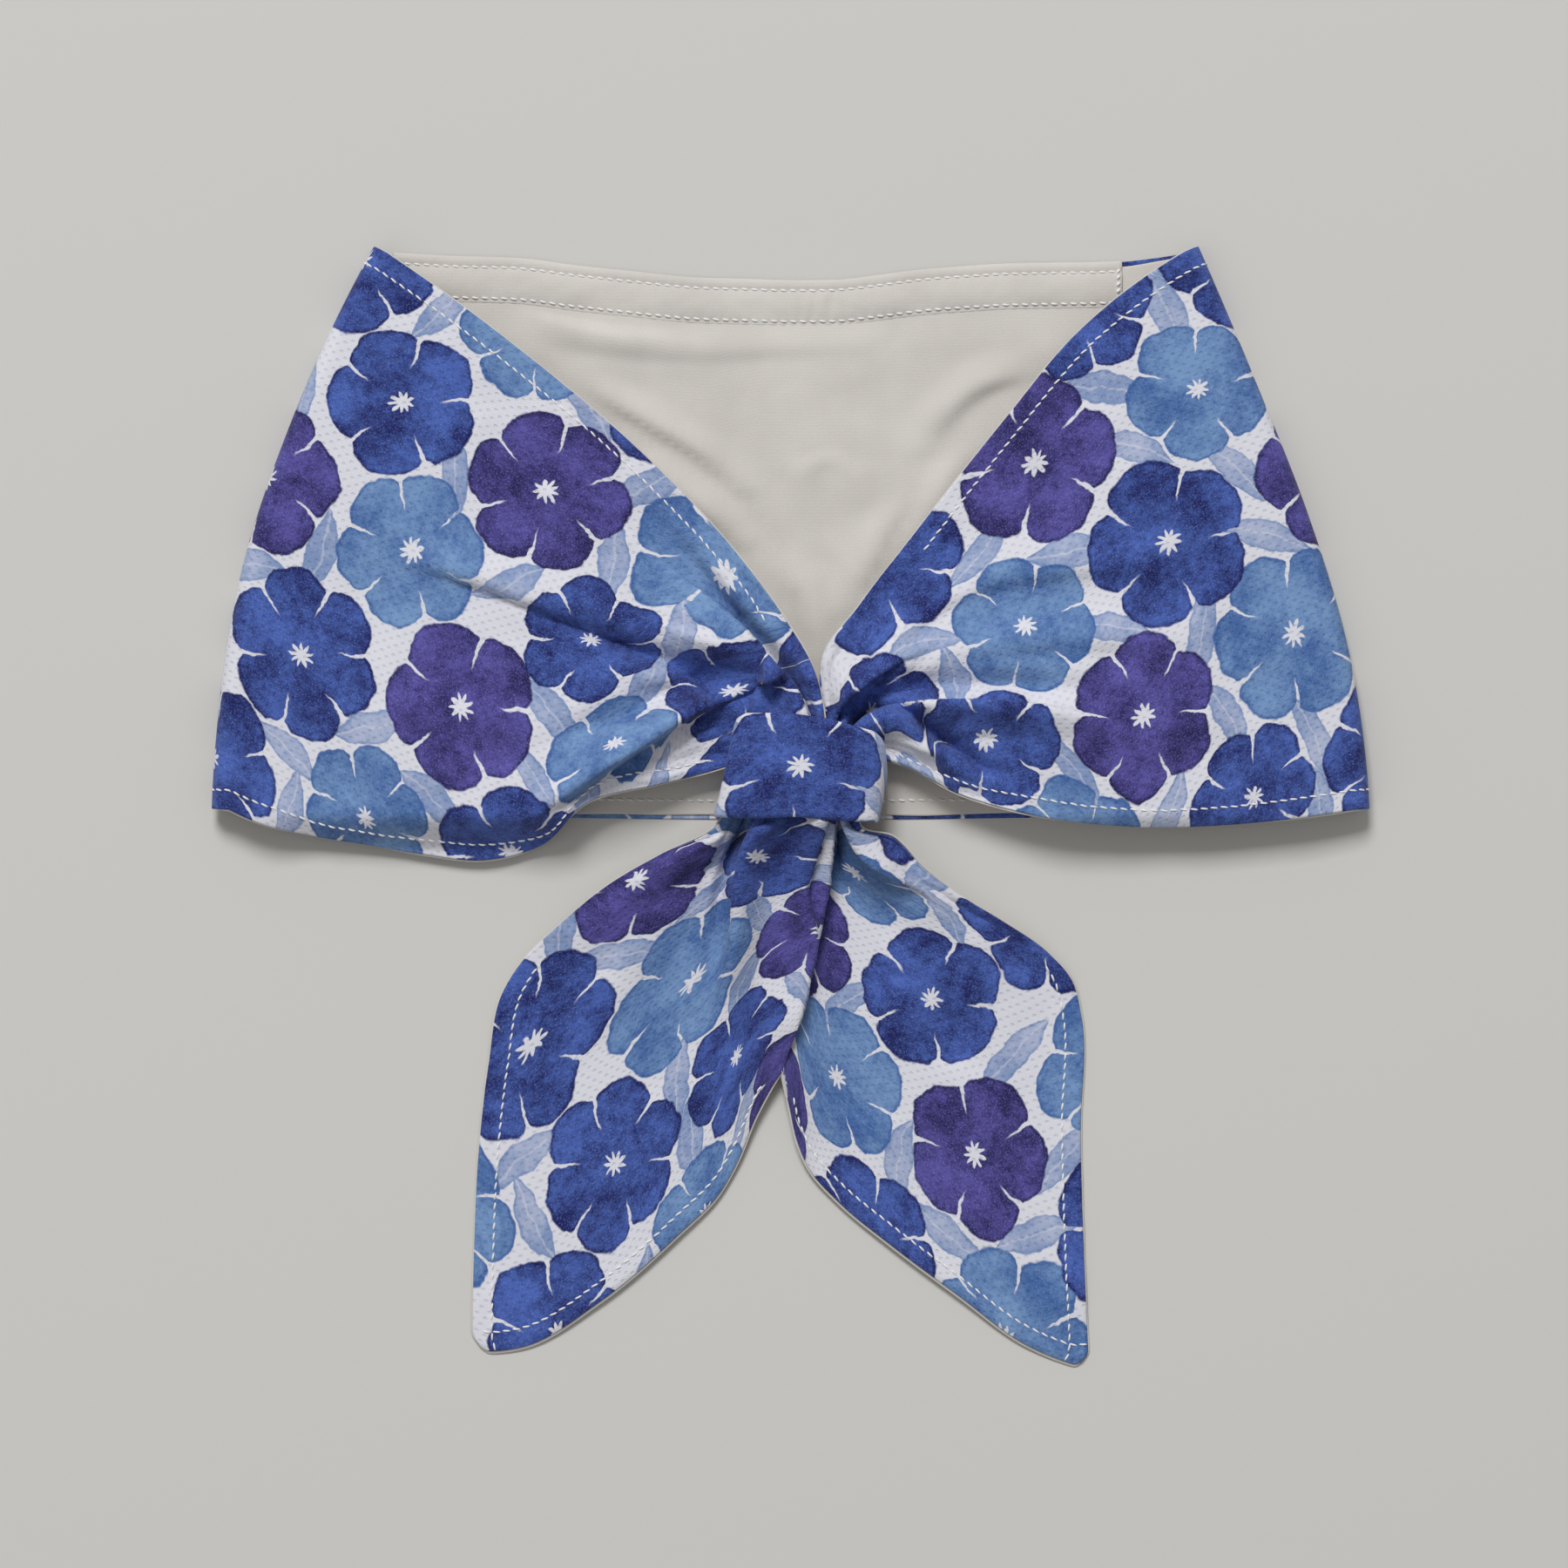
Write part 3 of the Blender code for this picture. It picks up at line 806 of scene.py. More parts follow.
@dataclass(frozen=True)
class PrintedMesh:
    """Matt knitted polyester mesh, printed in watercolour blues."""

    ground: Color = (0.725, 0.723, 0.785)
    roughness: float = 0.88
    sheen: float = 0.10
    knit_depth: float = 0.00013
    # Painted shade in the knit's pits: its colour, and how much of it is mixed in.
    pit_shade_color: Color = (0.72, 0.72, 0.76)
    pit_shade_share: float = 0.34
    fleck_color: Color = (0.440, 0.500, 0.720)
    fleck_share: float = 0.24
    wander: float = 0.0042

    def material(self, name: str, effects: Effects) -> bpy.types.Material:
        """Makes the material.

        Args:
            name: Its name.
            effects: The shared effects.

        Returns:
            The material.
        """
        made, g, shader = cloth_shader(name)
        place = g.node("ShaderNodeUVMap", uv_map=CLOTH_MAP).outputs[0]
        wander = g.vector("SUBTRACT", g.noise(place, 130.0, 3.0, 0.55).outputs["Color"], (0.5, 0.5, 0.5))
        inked = g.vector("ADD", place, g.scaled(wander, self.wander))
        leaf, blossom = effects.leaf, effects.blossom
        motifs = [(row, leaf, dict(Length=row.length, Width=row.width), Hue.LEAF) for row in LEAVES]
        motifs += [(row, blossom, dict(Size=row.radius, Petals=row.petals), row.hue) for row in BLOOMS]
        color: object = self.ground
        hearts: object = 0.0
        for hue in (Hue.LEAF, Hue.CORNFLOWER, Hue.VIOLET, Hue.ROYAL):
            mask: object = 0.0
            rim: object = 0.0
            for row, group, sizes, ink in motifs:
                if ink is not hue:
                    continue
                near = use(g, effects.repeat, Place=inked, Middle=(row.x, row.y, 0), Turn=row.turn).outputs[0]
                parts = use(g, group, From_Middle=near, **sizes).outputs
                mask = g.math("MAXIMUM", mask, parts[0])
                rim = g.math("MAXIMUM", rim, g.times(parts[0], parts[1]))
                if group is blossom:
                    hearts = g.math("MAXIMUM", hearts, parts["Heart"])
            deep, pale = hue.value
            wash = use(g, effects.wash, Place=place, Deep=(*deep, 1), Pale=(*pale, 1), Rim=rim).outputs[0]
            color = g.mix(mask, color, wash)
        color = g.mix(hearts, color, self.ground)
        flecks = g.step(g.noise(place, 1900.0, 2.0, 0.7).outputs["Fac"], 0.50, 0.72)
        color = g.mix(g.times(flecks, self.fleck_share), color, self.fleck_color)
        knit = use(g, effects.knit, Place=place).outputs
        # Painted shade: the colour is darkened inside the knit's pits, on top of the shading that their bump
        # gives.
        dark = g.mix(1.0, color, self.pit_shade_color)
        dark.node.blend_type = "MULTIPLY"
        pit_shaded = g.mix(g.times(knit["Pit"], self.pit_shade_share), color, dark)
        plain = dict(Roughness=self.roughness, Sheen_Weight=self.sheen, Sheen_Roughness=0.5)
        feed(g, shader, pit_shaded, knit["Height"], self.knit_depth, Specular_IOR_Level=0.25, **plain)
        return made


@dataclass(frozen=True)
class BeigeTricot:
    """Smooth, matt beige tricot."""

    color: Color = (0.620, 0.590, 0.553)
    shaded: Color = (0.560, 0.531, 0.496)
    wale_depth: float = 0.00006
    roughness: float = 0.80
    sheen: float = 0.12

    def material(self, name: str, effects: Effects) -> bpy.types.Material:
        """Makes the material.

        Args:
            name: Its name.
            effects: The shared effects.

        Returns:
            The material.
        """
        made, g, shader = cloth_shader(name)
        place = g.node("ShaderNodeUVMap", uv_map=CLOTH_MAP).outputs[0]
        tricot = use(g, effects.tricot, Place=place).outputs
        color = g.mix(g.step(tricot["Shade"], 0.30, 0.70), self.shaded, self.color)
        plain = dict(Roughness=self.roughness, Sheen_Weight=self.sheen, Specular_IOR_Level=0.3)
        feed(g, shader, color, tricot["Height"], self.wale_depth, **plain)
        return made


@dataclass(frozen=True)
class Thread:
    """Slightly glossy sewing thread."""

    color: Color = (0.880, 0.870, 0.865)
    shade: float = 0.82
    twist_depth: float = 0.00008
    roughness: float = 0.55

    def material(self, name: str) -> bpy.types.Material:
        """Makes the material, with the fine grain of twisted thread.

        Args:
            name: Its name.

        Returns:
            The material.
        """
        made, g, shader = cloth_shader(name)
        place = g.node("ShaderNodeTexCoord").outputs["Object"]
        twist = g.noise(place, 2500.0, 2.0).outputs["Fac"]
        color = g.mix(twist, tuple(self.shade * c for c in self.color), self.color)
        feed(g, shader, color, twist, self.twist_depth, Roughness=self.roughness)
        return made


@dataclass
class Panel:
    """The middle surface of a piece of two-ply cloth, with its flat cut."""

    points: Grid
    flat: Grid

    @property
    def normals(self) -> Grid:
        """Gives the unit normals."""
        return unit(np.cross(np.gradient(self.points, axis=0), np.gradient(self.points, axis=1)))


def link(
    name: str, points: Grid, faces: list, flat: Grid | None, finish: bpy.types.Material
) -> bpy.types.Object:
    """Makes one smooth-shaded object.

    Args:
        name: Its name.
        points: Its points.
        faces: Its faces.
        flat: Each point's place on the flat cut, or None.
        finish: Its material.

    Returns:
        The object.
    """
    mesh = bpy.data.meshes.new(name)
    mesh.from_pydata(points.tolist(), [], faces)
    mesh.materials.append(finish)
    if flat is not None:
        layer = mesh.uv_layers.new(name=CLOTH_MAP)
        corners = np.empty(len(mesh.loops), np.int32)
        mesh.loops.foreach_get("vertex_index", corners)
        layer.data.foreach_set("uv", flat[corners].astype(np.float32).ravel())
    mesh.shade_smooth()
    made = bpy.data.objects.new(name, mesh)
    bpy.context.scene.collection.objects.link(made)
    return made


def round_corner(surface: Grid, row: int, column: int, radius: float) -> Grid:
    """Rounds a corner of a grid of points.

    Args:
        surface: The points.
        row: The corner's row, 0 or -1.
        column: The corner's column, 0 or -1.
        radius: How far from the corner the rounding starts.

    Returns:
        The points with the rounded corner.
    """
    turned = surface[:: 1 if row == 0 else -1, :: 1 if column == 0 else -1].copy()
    gone = [np.clip(1 - lengths_of(turned, axis) / radius, 0, 1) for axis in (0, 1)]
    ways = [unit(np.gradient(turned, axis=axis)) for axis in (0, 1)]
    for here, other, way in ((gone[0], gone[1], ways[0]), (gone[1], gone[0], ways[1])):
        turned += way * (radius * here * (1 - np.sqrt(1 - other**2 / 2)))[..., None]
    return turned[:: 1 if row == 0 else -1, :: 1 if column == 0 else -1]


def reach_out(grid: Grid, panel: Grid, low: Grid | float, high: Grid | float) -> Grid:
    """Moves the two long edges of a layer in or out, and the cloth beside them less and less.

    Args:
        grid: The layer's points.
        panel: The middle surface.
        low: How far the edge at 0 across moves out, in all or by place along.
        high: The same for the edge at 1 across.

    Returns:
        The moved points.
    """
    way = unit(np.gradient(panel, axis=1))
    gone = lengths_of(panel, 1)
    near_low, near_high = 1 - ease(gone / HEM_FLANK), 1 - ease((gone[:, -1:] - gone) / HEM_FLANK)
    low, high = (np.broadcast_to(np.asarray(edge_out, float), len(grid))[:, None] for edge_out in (low, high))
    return grid + way * (near_high * high - near_low * low)[..., None]


def ply(
    name: str,
    panel: Panel,
    side: Lies,
    near: float,
    thick: float,
    finish: bpy.types.Material,
    low: Grid | float = 0.0,
    high: Grid | float = 0.0,
) -> bpy.types.Object:
    """Makes one closed layer of cloth with a rounded edge.

    Args:
        name: Its name.
        panel: The middle surface.
        side: Which side of it the layer lies on.
        near: The distance from it to the layer.
        thick: The layer's thickness.
        finish: Its material.
        low: How far its edge at 0 across reaches out.
        high: How far its edge at 1 across reaches out.

    Returns:
        The object.
    """
    out = panel.normals * side.value
    inner, outer = panel.points + out * near, panel.points + out * (near + thick)
    inner, outer = (reach_out(layer, panel.points, low, high) for layer in (inner, outer))
    along, across = inner.shape[:2]
    count = along * across
    index = np.arange(count).reshape(along, across)
    rim = np.concatenate([index[:-1, 0], index[-1, :-1], index[:0:-1, -1], index[0, :0:-1]])
    inward = np.zeros_like(panel.points)
    for last, beside in ((0, 1), (-1, -2)):
        inward[:, last] += panel.points[:, beside] - panel.points[:, last]
        inward[last] += panel.points[beside] - panel.points[last]
    away = -unit(inward.reshape(-1, 3)[rim])
    both = np.concatenate([inner.reshape(-1, 3), outer.reshape(-1, 3)])
    middle = (both[rim] + both[rim + count]) / 2 + away * thick * EDGE_BULGE
    points = np.concatenate([both, middle])
    flat = panel.flat.reshape(-1, 2)
    flat = np.concatenate([flat, flat, flat[rim]])
    corners = (index[:-1, :-1], index[1:, :-1], index[1:, 1:], index[:-1, 1:])
    square = np.stack([corner.ravel() for corner in corners], 1)
    top, bottom = square + count, square[:, ::-1]
    turn = np.roll(np.arange(len(rim)), -1)
    mids = 2 * count + np.arange(len(rim))
    upper = np.stack([rim + count, mids, mids[turn], rim[turn] + count], 1)
    lower = np.stack([mids, rim, rim[turn], mids[turn]], 1)
    faces = np.concatenate([top, bottom, upper, lower])
    if side is Lies.INSIDE:
        faces = faces[:, ::-1]
    return link(name, points, faces.tolist(), flat, finish)


@dataclass(frozen=True)
class Stitch:
    """One kind of stitch."""

    pitch: float
    radius: float
    slant: float = 0.08


HEM_STITCH = Stitch(0.0030, 0.00030)
CASING_STITCH = Stitch(0.0029, 0.00032)
TACK_STITCH = Stitch(0.0020, 0.00050, 0.40)


@dataclass
class Stitching:
    """A row of lock stitches that follows the cloth."""

    finish: bpy.types.Material
    gap: float = 0.0006
    sides: int = 6
    sizes: tuple = (0.5, 0.95, 1.0, 0.95, 0.5)
    heights: tuple = (-0.6, 0.3, 0.5, 0.3, -0.6)
    points: list = field(default_factory=list)
    faces: list = field(default_factory=list)

    def sew(self, line: Grid, normals: Grid, stitch: Stitch) -> None:
        """Adds a row of stitches.

        Args:
            line: Points on the cloth, in order.
            normals: The cloth's normals there.
            stitch: The kind of stitch.
        """
        pitch, rings = stitch.pitch, len(self.sizes)
        gone = gone_along(line)
        for k in range(int(gone[-1] / pitch)):
            places = (k + np.linspace(0, 1 - self.gap / pitch, rings)) * pitch
            spine = np.stack([np.interp(places, gone, line[:, i]) for i in range(3)], 1)
            lift = np.stack([np.interp(places, gone, normals[:, i]) for i in range(3)], 1)
            turned = np.cross(spine[-1] - spine[0], lift[rings // 2]) * stitch.slant
            spine += turned * np.linspace(-1, 1, rings)[:, None]
            self._stitch(spine, lift, stitch.radius)

    def _stitch(self, spine: Grid, lift: Grid, radius: float) -> None:
        """Adds one stitch: a short bowed thread whose ends dip into the cloth.

        Args:
            spine: The thread's middle line.
            lift: The cloth's normals there.
            radius: The thread's radius.
        """
        way = unit(spine[-1] - spine[0])
        first = len(self.points)
        for point, up, size, height in zip(spine, lift, self.sizes, self.heights):
            side = np.cross(way, up)
            for angle in 2 * math.pi * np.arange(self.sides) / self.sides:
                offset = math.cos(angle) * side + math.sin(angle) * up
                self.points.append(point + up * height * radius + offset * radius * size)
        last = len(self.points) - self.sides
        for ring in range(first, last, self.sides):
            for k in range(self.sides):
                a, b = ring + k, ring + (k + 1) % self.sides
                self.faces.append((a, b, b + self.sides, a + self.sides))
        self.faces.append(tuple(range(first + self.sides - 1, first - 1, -1)))
        self.faces.append(tuple(range(last, last + self.sides)))

    def piece(self, name: str) -> bpy.types.Object:
        """Makes the object of every stitch added so far."""
        return link(name, np.array(self.points), self.faces, None, self.finish)


def line_inside(panel: Panel, side: Lies, lift: float, inset: float, which: str) -> tuple[Grid, Grid]:
    """Finds the line at a distance inside an edge of a panel.

    Args:
        panel: The panel.
        side: Which side of the cloth the line lies on.
        lift: How far it lies from the middle surface.
        inset: The distance from the edge, on the cloth.
        which: The edge: lower, upper, first or last.

    Returns:
        The line's points and the normals there.
    """
    points, normals = panel.points, panel.normals * side.value
    if which in ("first", "last"):
        points, normals = points.swapaxes(0, 1), normals.swapaxes(0, 1)
    if which in ("upper", "last"):
        points, normals = points[:, ::-1], normals[:, ::-1]
    gone = lengths_of(points, 1)
    line, up = (
        np.array([[np.interp(inset, row, held[:, i]) for i in range(3)] for row, held in zip(gone, grid)])
        for grid in (points, normals)
    )
    up = unit(up)
    return line + up * lift, up


@dataclass
class Plies:
    """The two layers that every panel is made of."""

    outer: float = 0.00055
    lining: float = 0.00045
    gap: float = 0.00008

    @property
    def to_face(self) -> float:
        """Gives the distance from the middle surface to the printed face."""
        return self.gap + self.outer

    @property
    def under(self) -> float:
        """Gives the distance from the middle surface to the lining's face."""
        return self.gap + self.lining


@dataclass
class KnotLoop:
    """The flattened tube of cloth that the gathers pass through."""

    finish: bpy.types.Material
    width: float = 0.0480
    height: float = 0.0315
    depth: float = 0.0180
    wall: float = 0.0020
    inside: float = 0.0034
    shift: float = 0.0036
    lean: float = 0.0042
    drop: float = 0.0035
    taper: float = 0.06
    base: float = 0.0026
    squareness: float = 0.5
    crown: float = 0.0007
    dips: tuple[float, float] = (0.50, 0.30)
    dip_power: int = 8
    dents: Wave = Wave(0.0005, 0.016, 7.0)
    dent_width: float = 0.011
    turned_in: float = 0.0016
    around: int = 160
    rows: int = 60
    upper_rim: tuple = ((-1, 0.94), (-0.85, 1), (-0.3, 1), (0.2, 0.955), (0.85, 0.83), (1, 0.73))
    lower_rim: tuple = ((-1, 0.03), (-0.5, 0.02), (0, 0.035), (0.5, 0.0), (1, -0.02))

    def hollow_point(self, end: End) -> Grid:
        """Gives a place in the hollow, from an End row.

        Args:
            end: The row.

        Returns:
            The point.
        """
        middle = self.shift + self.lean * (end.y - 0.5)
        half = self.width / 2 * (1 + self.taper * (0.5 - end.y)) - self.inside
        z = self.base + self.inside + end.z * (self.depth - 2 * self.inside)
        return np.array([middle + end.x * half, end.y * self.height - self.drop, z])

    def gathered_end(self, rows: Sequence[End], across: Grid) -> Grid:
        """Gives the gathered edge of a cloth inside the loop."""
        return smooth([row.across for row in rows], [self.hollow_point(row) for row in rows], across)

    def _around(self) -> tuple[Grid, Grid]:
        """Gives angles that are evenly spaced round the loop's section, and the length gone at each.

        Returns:
            The angles, and the lengths.
        """
        angles = np.linspace(0, 2 * math.pi, 4001)
        x = self.width / 2 * np.sign(np.cos(angles)) * np.abs(np.cos(angles)) ** self.squareness
        z = self.depth / 2 * np.sign(np.sin(angles)) * np.abs(np.sin(angles)) ** self.squareness
        gone = np.concatenate([[0], np.cumsum(np.hypot(np.diff(x), np.diff(z)))])
        places = np.linspace(0, gone[-1], self.around + 1)
        return np.interp(places, gone, angles), places

    def _section(self, angle: float, up: float, inset: float) -> tuple[float, float, float]:
        """Gives a point of the loop's section, a rounded rectangle.

        Args:
            angle: The place round the section.
            up: The share of the loop's height.
            inset: How far inside the outer face it lies.

        Returns:
            The point.
        """
        half_width = self.width / 2 * (1 + self.taper * (0.5 - up)) - inset
        half_depth = self.depth / 2 - inset
        c, s = math.cos(angle), math.sin(angle)
        x, z = (math.copysign(abs(value) ** self.squareness, value) for value in (c, s))
        dip = self.dips[0 if c < 0 else 1] * abs(c) ** self.dip_power * (1 - ease((s - 0.05) / 0.45))
        upper = float(np.interp(x, *np.array(self.upper_rim).T)) - dip
        lower = float(np.interp(x, *np.array(self.lower_rim).T))
        y = self.height * (lower + (upper - lower) * up) - self.drop
        middle = self.shift + self.lean * (up - 0.5)
        crown = self.crown * math.sin(math.pi * up) * max(s, 0)
        return middle + half_width * x, y, self.base + self.depth / 2 + half_depth * z + crown

    def build(self) -> None:
        """Makes the loop, with its edges turned in."""
        angles, places = self._around()
        profile = self._profile()
        points, flat = [], []
        for angle, place in zip(angles, places):
            for up, inset in profile:
                points.append(self._section(angle, up, inset))
                flat.append((PRINT_START[0] - place, PRINT_START[1] + self.height * up))
        count = len(profile)
        faces = []
        for a in range(0, self.around * count, count):
            b = a + count
            faces += [(a + j, b + j, b + (j + 1) % count, a + (j + 1) % count) for j in range(count)]
        grid = np.array(points)
        top = grid[:, 2] > self.base + self.depth * 0.6
        grid[top, 2] += self._puckers(grid[top])
        grid[-count:] = grid[:count]
        piece = link("loop_cloth", grid, faces, np.array(flat), self.finish)
        self._close(piece)
        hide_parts("knot_loop")
        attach(piece, "root")
        log.info("loop: %d faces", len(faces))

    def _profile(self) -> list[tuple[float, float]]:
        """Gives the wall's section along the loop: up the outside, over the edge and down the inside.

        Returns:
            The shares of the height, each with how far inside the outer face it lies.
        """
        rounded, past, middle = 0.0007, 0.006, 0.0011
        outside = [(up, rounded * abs(2 * up - 1) ** 24) for up in np.linspace(0.0, 1.0, self.rows)]
        over = [(1.0 + past, middle), (1.0, self.turned_in)]
        inside = [(up, self.wall) for up in np.linspace(0.98, 0.02, 8)]
        under = [(0.0, self.turned_in), (-past, middle)]
        return outside + over + inside + under

    def _puckers(self, grid: Grid) -> Grid:
        """Gives the heights of the loop's small dents.

        Args:
            grid: The points.

        Returns:
            The heights to add.
        """
        height, length, seed = self.dents
        places = [Vector((x / length, y / self.dent_width, seed)) for x, y, _ in grid]
        return height * np.array([noise.fractal(place, 0.9, 2.1, 2) for place in places])

    @staticmethod
    def _close(piece: bpy.types.Object) -> None:
        """Welds the seam and turns the faces outwards.

        Args:
            piece: The loop.
        """
        held = bmesh.new()
        held.from_mesh(piece.data)
        bmesh.ops.remove_doubles(held, verts=held.verts, dist=1e-7)
        bmesh.ops.recalc_face_normals(held, faces=held.faces)
        held.to_mesh(piece.data)
        held.free()


@dataclass
class GatheredCloth:
    """Printed cloth with a lining, gathered into the loop; each kind of it sets the sizes below."""

    loop: KnotLoop
    plies: Plies
    printed: bpy.types.Material
    lining: bpy.types.Material
    rise: float = 0.0
    free_length: float = 0.0
    waves: tuple = ()
    lift: float = 0.0
    seams: Wave = Wave(0.0003, 0.0085, 0.0)
    seam_reach: float = 0.005
    gathered: tuple = ()
    cut_length: float = 0.0
    cut_width: float = 0.172

    def _worked(self, surface: Grid, across: Grid, folds: tuple, pleats: tuple) -> Grid:
        """Gives a smooth surface its folds, pleats, waves, puckered seams and gathers.

        Args:
            surface: The surface, whose rows go towards the loop.
            across: The shares across of its columns.
            folds: The broad folds.
            pleats: The pleats and gullies.

        Returns:
            The worked surface.
        """
        surface = press_pleats(raise_folds(surface, folds, self.rise, across), pleats)
        free = ease(lengths_of(surface, 0) / self.free_length)
        surface[..., 2] += free * sum((ruffle(surface, *wave) for wave in self.waves), self.lift)
        surface[..., 2] += free * puckers(surface, *self.seams, self.seam_reach)
        surface[..., 2] += gathers(surface, *self.gathered)
        return surface

    def _layers(self, panel: Panel, under: Panel, reach: tuple, *names: str) -> list[bpy.types.Object]:
        """Makes both plies and attaches them to the root body.

        Args:
            panel: The printed ply's middle surface.
            under: The lining's middle surface.
            reach: How far the lining's two long edges reach out.
            names: The name of the printed ply and of the lining.

        Returns:
            The printed ply and the lining.
        """
        plies = self.plies
        outer = ply(names[0], panel, Lies.OUTSIDE, plies.gap, plies.outer, self.printed)
        inner = ply(names[1], under, Lies.INSIDE, plies.gap, plies.lining, self.lining, *reach)
        for piece, slot in ((outer, "printed_mesh"), (inner, "beige_lining")):
            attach(piece, "root")
        log.info("%s: %d points a ply", names[0], panel.points.shape[0] * panel.points.shape[1])
        return [outer, inner]


class LobeShape(NamedTuple):
    """What gives a lobe its shape: silhouette, edges, gathered end and folds, and how far its hem hangs."""

    side: tuple
    hem: tuple
    neck: tuple
    end: tuple
    folds: tuple
    pleats: tuple
    hang: float


LEFT_LOBE = LobeShape(
    side=(
        Outline(0, 1), Outline(0.13, 0.972), Outline(0.43, 0.81), Outline(0.67, 0.535), Outline(1, 0),
    ),
    hem=(
        Bend(0.06, -0.033, 0.05), Bend(0.15, -0.063, 0.1), Bend(0.26, -0.092, 0.2),
        Bend(0.37, -0.122, 0.3), Bend(0.49, -0.144, 0.4), Bend(0.60, -0.124, 0.45),
        Bend(0.70, -0.050, 0.35), Bend(0.84, -0.027, 0.1), Bend(0.93, -0.014, 0.0),
    ),
    neck=(
        Bend(0.26, 0.051, -0.10), Bend(0.52, 0.081, -0.20), Bend(0.72, 0.081, -0.28),
        Bend(0.84, 0.067, -0.28), Bend(0.92, 0.048, -0.15),
    ),
    end=(
        End(0, -0.93, 0.54, 0.42), End(0.30, -0.58, 0.72, 0.30), End(0.60, -0.22, 0.82, 0.26),
        End(0.82, 0.00, 0.86, 0.38), End(1, 0.24, 0.88, 0.82),
    ),
    folds=(
        Fold("puff over the hem", 0.20, 0.30, 0.10, 0.50, 0.30, 0.0, 0.42),
        Fold("big pleat's body", 0.55, 0.62, 0.35, 0.84, 0.35, 0.15, 0.22),
        Fold("soft ridge", 0.80, 0.50, 0.05, 0.35, 0.20, 0.0, 0.20),
    ),
    pleats=(
        Pleat("strip by the neck edge", 0.0036, 0.9, 0.0050, 0.0045, fade=0.5, line=traced(
            -436, 955, -279, 784, -150, 633, -32, 493, 59, 363, 105, 227)),
        Pleat("big pleat", 0.0080, 0.75, 0.0026, 0.0160, lean=0.8, fade=0.55, line=traced(
            -449, 747, -357, 696, -254, 628, -163, 555, -72, 459, 1, 376, 46, 279, 59, 202)),
        Pleat("pleat on the big one", 0.0040, 0.9, 0.0065, 0.0020, lean=-0.2, fade=0.6, line=traced(
            -72, 498, -103, 446, -118, 378, -126, 300, -123, 202)),
        Pleat("valley under it", -0.0060, 0.8, 0.0070, 0.0060, line=traced(
            -800, 592, -657, 560, -553, 511, -446, 459, -342, 428, -251, 381, -163, 339, -97, 293)),
        Pleat("roll over the hem", 0.0092, 0.7, 0.0075, 0.0046, lean=-0.3, fade=0.5, line=traced(
            -839, -64, -735, 6, -623, 72, -524, 134, -430, 196, -337, 256, -259, 303, -189, 331, -137, 342)),
        Pleat("valley above the roll", -0.0032, 0.9, 0.0080, 0.0045, fade=0.5, line=traced(
            -800, 155, -649, 215, -501, 274, -357, 331, -241, 355, -150, 363)),
        Pleat("pocket", -0.0050, 1.0, 0.0080, 0.0080, fade=0.8, line=traced(
            -384, 394, -279, 384, -202, 373, -137, 365, -59, 331)),
        Pleat("bulge over the lobe's crease", 0.0036, 0.5, 0.0140, 0.0028, lean=-0.3, line=traced(
            -1242, 753, -1111, 727, -982, 690, -825, 633, -670, 571, -526, 513)),
        Pleat("ridge under the strip", 0.0013, 0.5, 0.0040, 0.0080, line=traced(
            -904, 1060, -747, 955, -592, 857, -436, 747)),
        Pleat("low ridge", 0.0012, 0.3, 0.0120, 0.0080, line=traced(
            -1320, 331, -1111, 293, -904, 241, -696, 202)),
        Pleat("wrinkle in the strip", -0.0005, 0.4, 0.0020, 0.0025, line=traced(
            -337, 747, -279, 768, -222, 747)),
        Pleat("wrinkle in the strip, lower", -0.0005, 0.4, 0.0020, 0.0025, line=traced(
            -170, 534, -129, 571, -77, 576)),
        Pleat("fine wrinkle over the valley", 0.0012, 0.6, 0.0030, 0.0016, lean=-0.3, line=traced(
            -488, 592, -384, 534, -279, 475, -175, 404)),
        Pleat("fine wrinkle in the roll", -0.0008, 0.7, 0.0015, 0.0020, fade=0.5, line=traced(
            -449, 103, -371, 155, -293, 212, -227, 248)),
    ),
    hang=0.9,
)
